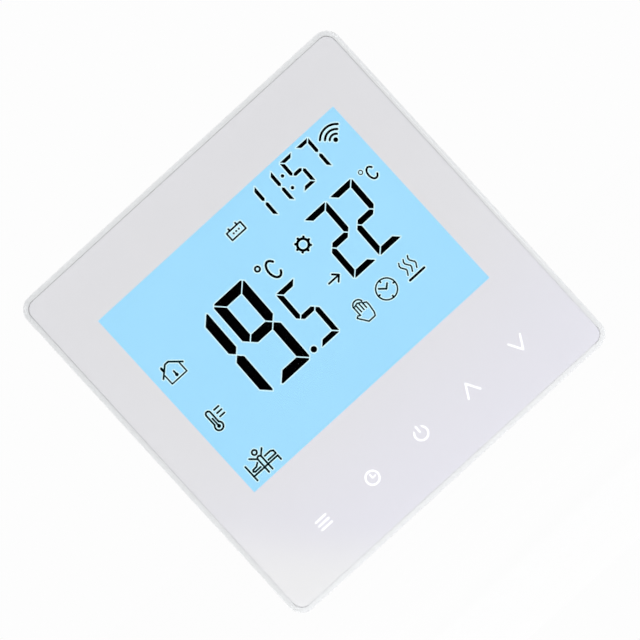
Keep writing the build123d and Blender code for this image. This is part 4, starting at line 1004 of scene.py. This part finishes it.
mask_print = Finish("grey-white print", IOR=1.45, Specular_IOR_Level=0.3)
# Painted reflection: the mask turns bluer towards the bottom, where the keys are.
fall = (mask_high.z - mask_print.axis("Z")) / mask_height
soft_edge = {"interpolation_type": "SMOOTHSTEP"}
painted_reflection_fall = mask_print.node("ShaderNodeMapRange", soft_edge, fall, 0.5, 1.0, 0.0, 1.0)
mottle = mask_print.noise(0.25 * mm)
tone = mask_print.blend(painted_reflection_fall, upper_grey, reflected_blue_grey)
# Painted highlight: the mask turns paler towards its lower left corner.
to_corner = (mask_print.axis("X") + mask_print.axis("Z")) / (mask_low.x + mask_low.z)
painted_highlight = mask_print.node("ShaderNodeMapRange", soft_edge, to_corner, 0.66, 0.9, 0.0, 1.0)
tone = mask_print.blend(painted_highlight, tone, highlight_grey)
mask_print.feed("Base Color", mask_print.blend(mottle * 0.06, tone, (0.6, 0.6, 0.62)))
mask_print.feed("Roughness", 0.5 + mottle * 0.1)
dress(mask_print, "printed_mask")

lit_symbol = Finish("lit white symbol", IOR=1.45, Emission_Strength=0.35)
glow = lit_symbol.noise(1.0 * mm)
lit_symbol.feed("Base Color", lit_symbol.blend(glow, (0.9, 0.9, 0.92), (0.96, 0.96, 0.97)))
lit_symbol.feed("Emission Color", lit_symbol.blend(glow, (0.9, 0.93, 1.0), (1.0, 1.0, 1.0)))
lit_symbol.feed("Roughness", 0.45 + glow * 0.1)
dress(lit_symbol, "key_symbols")

# A bead of soft white sealant fills the groove between the print and the shell's pocket. Its grey is painted
# shadow, the soft shade line round the print's edge, and it is darker along the top.
groove = 0.15
bead_width = 0.13
bead_depth = 0.25 * mm
print_corner = 2.2
straight = mask_high.x / mm - print_corner
bend = print_corner + groove / 2
round_print = []
for side, up, start in ((1, 1, 0), (-1, 1, 90), (-1, -1, 180), (1, -1, 270)):
    round_print += oval(side * straight, up * straight, bend, bend, start, start + 90, 12)
sealant = bmesh.new()
pen(sealant, [*round_print, round_print[0]], bead_width)
thicken(sealant, mask_low.y + bond_line, bead_depth)

sealant_painted_shadow = Finish("sealant with painted shadow", IOR=1.42, Specular_IOR_Level=0.2)
# Painted shadow: the bead is darker towards the top.
painted_shadow_top = (mask_high.z - sealant_painted_shadow.axis("Z")) / mask_height
cured = sealant_painted_shadow.noise(0.5 * mm)
sealant_painted_shadow.feed("Base Color", sealant_painted_shadow.blend(painted_shadow_top, (0.6, 0.6, 0.61), (0.88, 0.88, 0.9)))
sealant_painted_shadow.feed("Roughness", 0.45 + cured * 0.15)
finish_piece("edge_sealant_shadow", sealant, sealant_painted_shadow, "display_unit")

tissue_tape = Finish("tissue tape")
fibres = tissue_tape.noise(0.3 * mm, stretch=(8.0, 1.0, 1.0))
tissue_tape.vary(fibres, (0.75, 0.74, 0.7), (0.85, 0.84, 0.8), 0.6, 0.75)
dress(tissue_tape, "lens_tape")

# ---- Lens -------------------------------------------------
# A plate of clear cast acrylic, 2 mm thick, cut with rounded corners and with its front edge rounded and
# flame polished. It is stuck down, so it stands a fiftieth of a millimetre off what is printed behind it.
lens_low, lens_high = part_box("front_lens")
lens_corner = 3.4 * mm
lens_edge = 0.9 * mm

acrylic = clear_finish("clear acrylic", 1.49, (0.985, 0.99, 0.995))
lens = bmesh.new()
plate(lens, lens_low, Vector((lens_high.x, lens_high.y - bond_line, lens_high.z)), lens_corner, lens_edge)
clear_lens = finish_piece("clear_lens", lens, acrylic, "display_unit")

# The sides below the rounded edge are left as the cutter made them: satin, whitish, with fine upright lines.
# They are given a faint painted glow of their own.
side_painted_glow = Finish("cut acrylic side with painted glow", IOR=1.49, Emission_Strength=0.35)
cutter = side_painted_glow.noise(0.15 * mm, stretch=(1.0, 20.0, 1.0))
side_painted_glow.feed("Base Color", side_painted_glow.blend(cutter, (0.8, 0.82, 0.83), (0.92, 0.93, 0.94)))
side_painted_glow.feed("Emission Color", side_painted_glow.blend(cutter, (0.9, 0.95, 1.0), (1.0, 1.0, 1.0)))
side_painted_glow.feed("Roughness", 0.35 + cutter * 0.2)
side_painted_glow.relief(cutter, 0.006 * mm)
clear_lens.data.materials.append(side_painted_glow.material)
for face in clear_lens.data.polygons:
    face.material_index = int(abs(face.normal.y) < 0.01)
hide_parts("front_lens")

# ---- Floor, light and camera ------------------------------
# A plain pale floor under the object, clear from below; a white surround that is darker where the clear
# plate would mirror it; two soft boxes; and a long lens square to the panel, with the picture turned.
floor_drop = 22 * mm
floor_depth = 4.0
floor_ahead = 0.25
floor_shape = bmesh.new()
bmesh.ops.create_grid(floor_shape, x_segments=1, y_segments=1, size=floor_depth / 2)
bmesh.ops.translate(
    floor_shape, vec=(0, floor_depth / 2 - floor_ahead, cad_box[0].z - floor_drop), verts=floor_shape.verts
)
floor_mesh = bpy.data.meshes.new("floor")
floor_shape.to_mesh(floor_mesh)
floor_shape.free()
floor = bpy.data.objects.new("floor", floor_mesh)
bpy.context.scene.collection.objects.link(floor)
pale = Finish("pale floor", Roughness=0.9, Specular_IOR_Level=0.0, Emission_Strength=1.0)
paper = pale.noise(40 * mm)
pale.feed("Base Color", pale.blend(paper, (0.045, 0.045, 0.045), (0.05, 0.05, 0.05)))
pale.feed("Emission Color", pale.blend(paper, (0.94, 0.94, 0.94), (0.945, 0.945, 0.945)))
underside = pale.node("ShaderNodeNewGeometry", give="Backfacing")
nothing = pale.node("ShaderNodeBsdfTransparent")
one_sided = pale.node("ShaderNodeMixShader", None, underside, Wire(pale, pale.shader.outputs[0]), nothing)
pale.tree.links.new(one_sided.socket, pale.tree.nodes["Material Output"].inputs["Surface"])
floor_mesh.materials.append(pale.material)

world = bpy.data.worlds.new("studio")


class Surround(Finish):
    """The surround, made with the same nodes as a finish."""

    def __init__(self, made_for):
        made_for.use_nodes = True
        self.tree = made_for.node_tree


surround = Surround(world)
towards = surround.node("ShaderNodeTexCoord", give="Generated")
ahead = surround.node("ShaderNodeSeparateXYZ", None, towards, give="Y")
shade = surround.node("ShaderNodeMapRange", soft_edge, ahead, -0.985, -0.8, 0.0, 1.0)
lighting = surround.node("ShaderNodeBackground", None, shade, 0.82)
backdrop = surround.node("ShaderNodeBackground", None, (0.983, 0.983, 0.983), 1.0)
seen = surround.node("ShaderNodeLightPath", give="Is Camera Ray")
refracted = surround.node("ShaderNodeLightPath", give="Is Transmission Ray")
mirrored = surround.node("ShaderNodeLightPath", give="Glossy Depth")
straight_through = refracted * (mirrored < 0.5)
direct = seen.reckon("MAXIMUM", seen, straight_through)
either = surround.node("ShaderNodeMixShader", None, direct, lighting, backdrop)
surround.tree.links.new(either.socket, surround.tree.nodes["World Output"].inputs["Surface"])
bpy.context.scene.world = world

panel_centre = Vector((0.0, lens_low.y, 0.0))
for light_name, spot, size, watts in (
    ("soft_box_left", Vector((-0.5, -0.5, 0.45)), 0.5, 1.8),
    ("soft_box_right", Vector((0.6, -0.45, 0.15)), 0.4, 0.75),
):
    box = bpy.data.lights.new(light_name, "AREA")
    box.shape = "SQUARE"
    box.size = size
    box.energy = watts
    lamp_object = bpy.data.objects.new(light_name, box)
    lamp_object.location = spot
    lamp_object.rotation_euler = (panel_centre - spot).to_track_quat("-Z", "Y").to_euler()
    lamp_object.visible_camera = False
    bpy.context.scene.collection.objects.link(lamp_object)

view_width = 130.38 * mm
view_turn = math.radians(42.4)
view_distance = 1.5
look = bpy.data.cameras.new("camera")
look.sensor_width = 36.0
look.lens = look.sensor_width * view_distance / view_width
look.clip_start = 0.1
look.clip_end = 20.0
camera = bpy.data.objects.new("camera", look)
rightward = Vector((math.cos(view_turn), 0.0, -math.sin(view_turn)))
upward = Vector((math.sin(view_turn), 0.0, math.cos(view_turn)))
backward = Vector((0.0, -1.0, 0.0))
aside = 1.18 * mm * rightward + 0.37 * mm * upward
camera.matrix_world = Matrix((rightward, upward, backward)).transposed().to_4x4()
camera.location = panel_centre + aside + view_distance * backward
bpy.context.scene.collection.objects.link(camera)
bpy.context.scene.camera = camera
bpy.context.scene.view_settings.view_transform = "Standard"
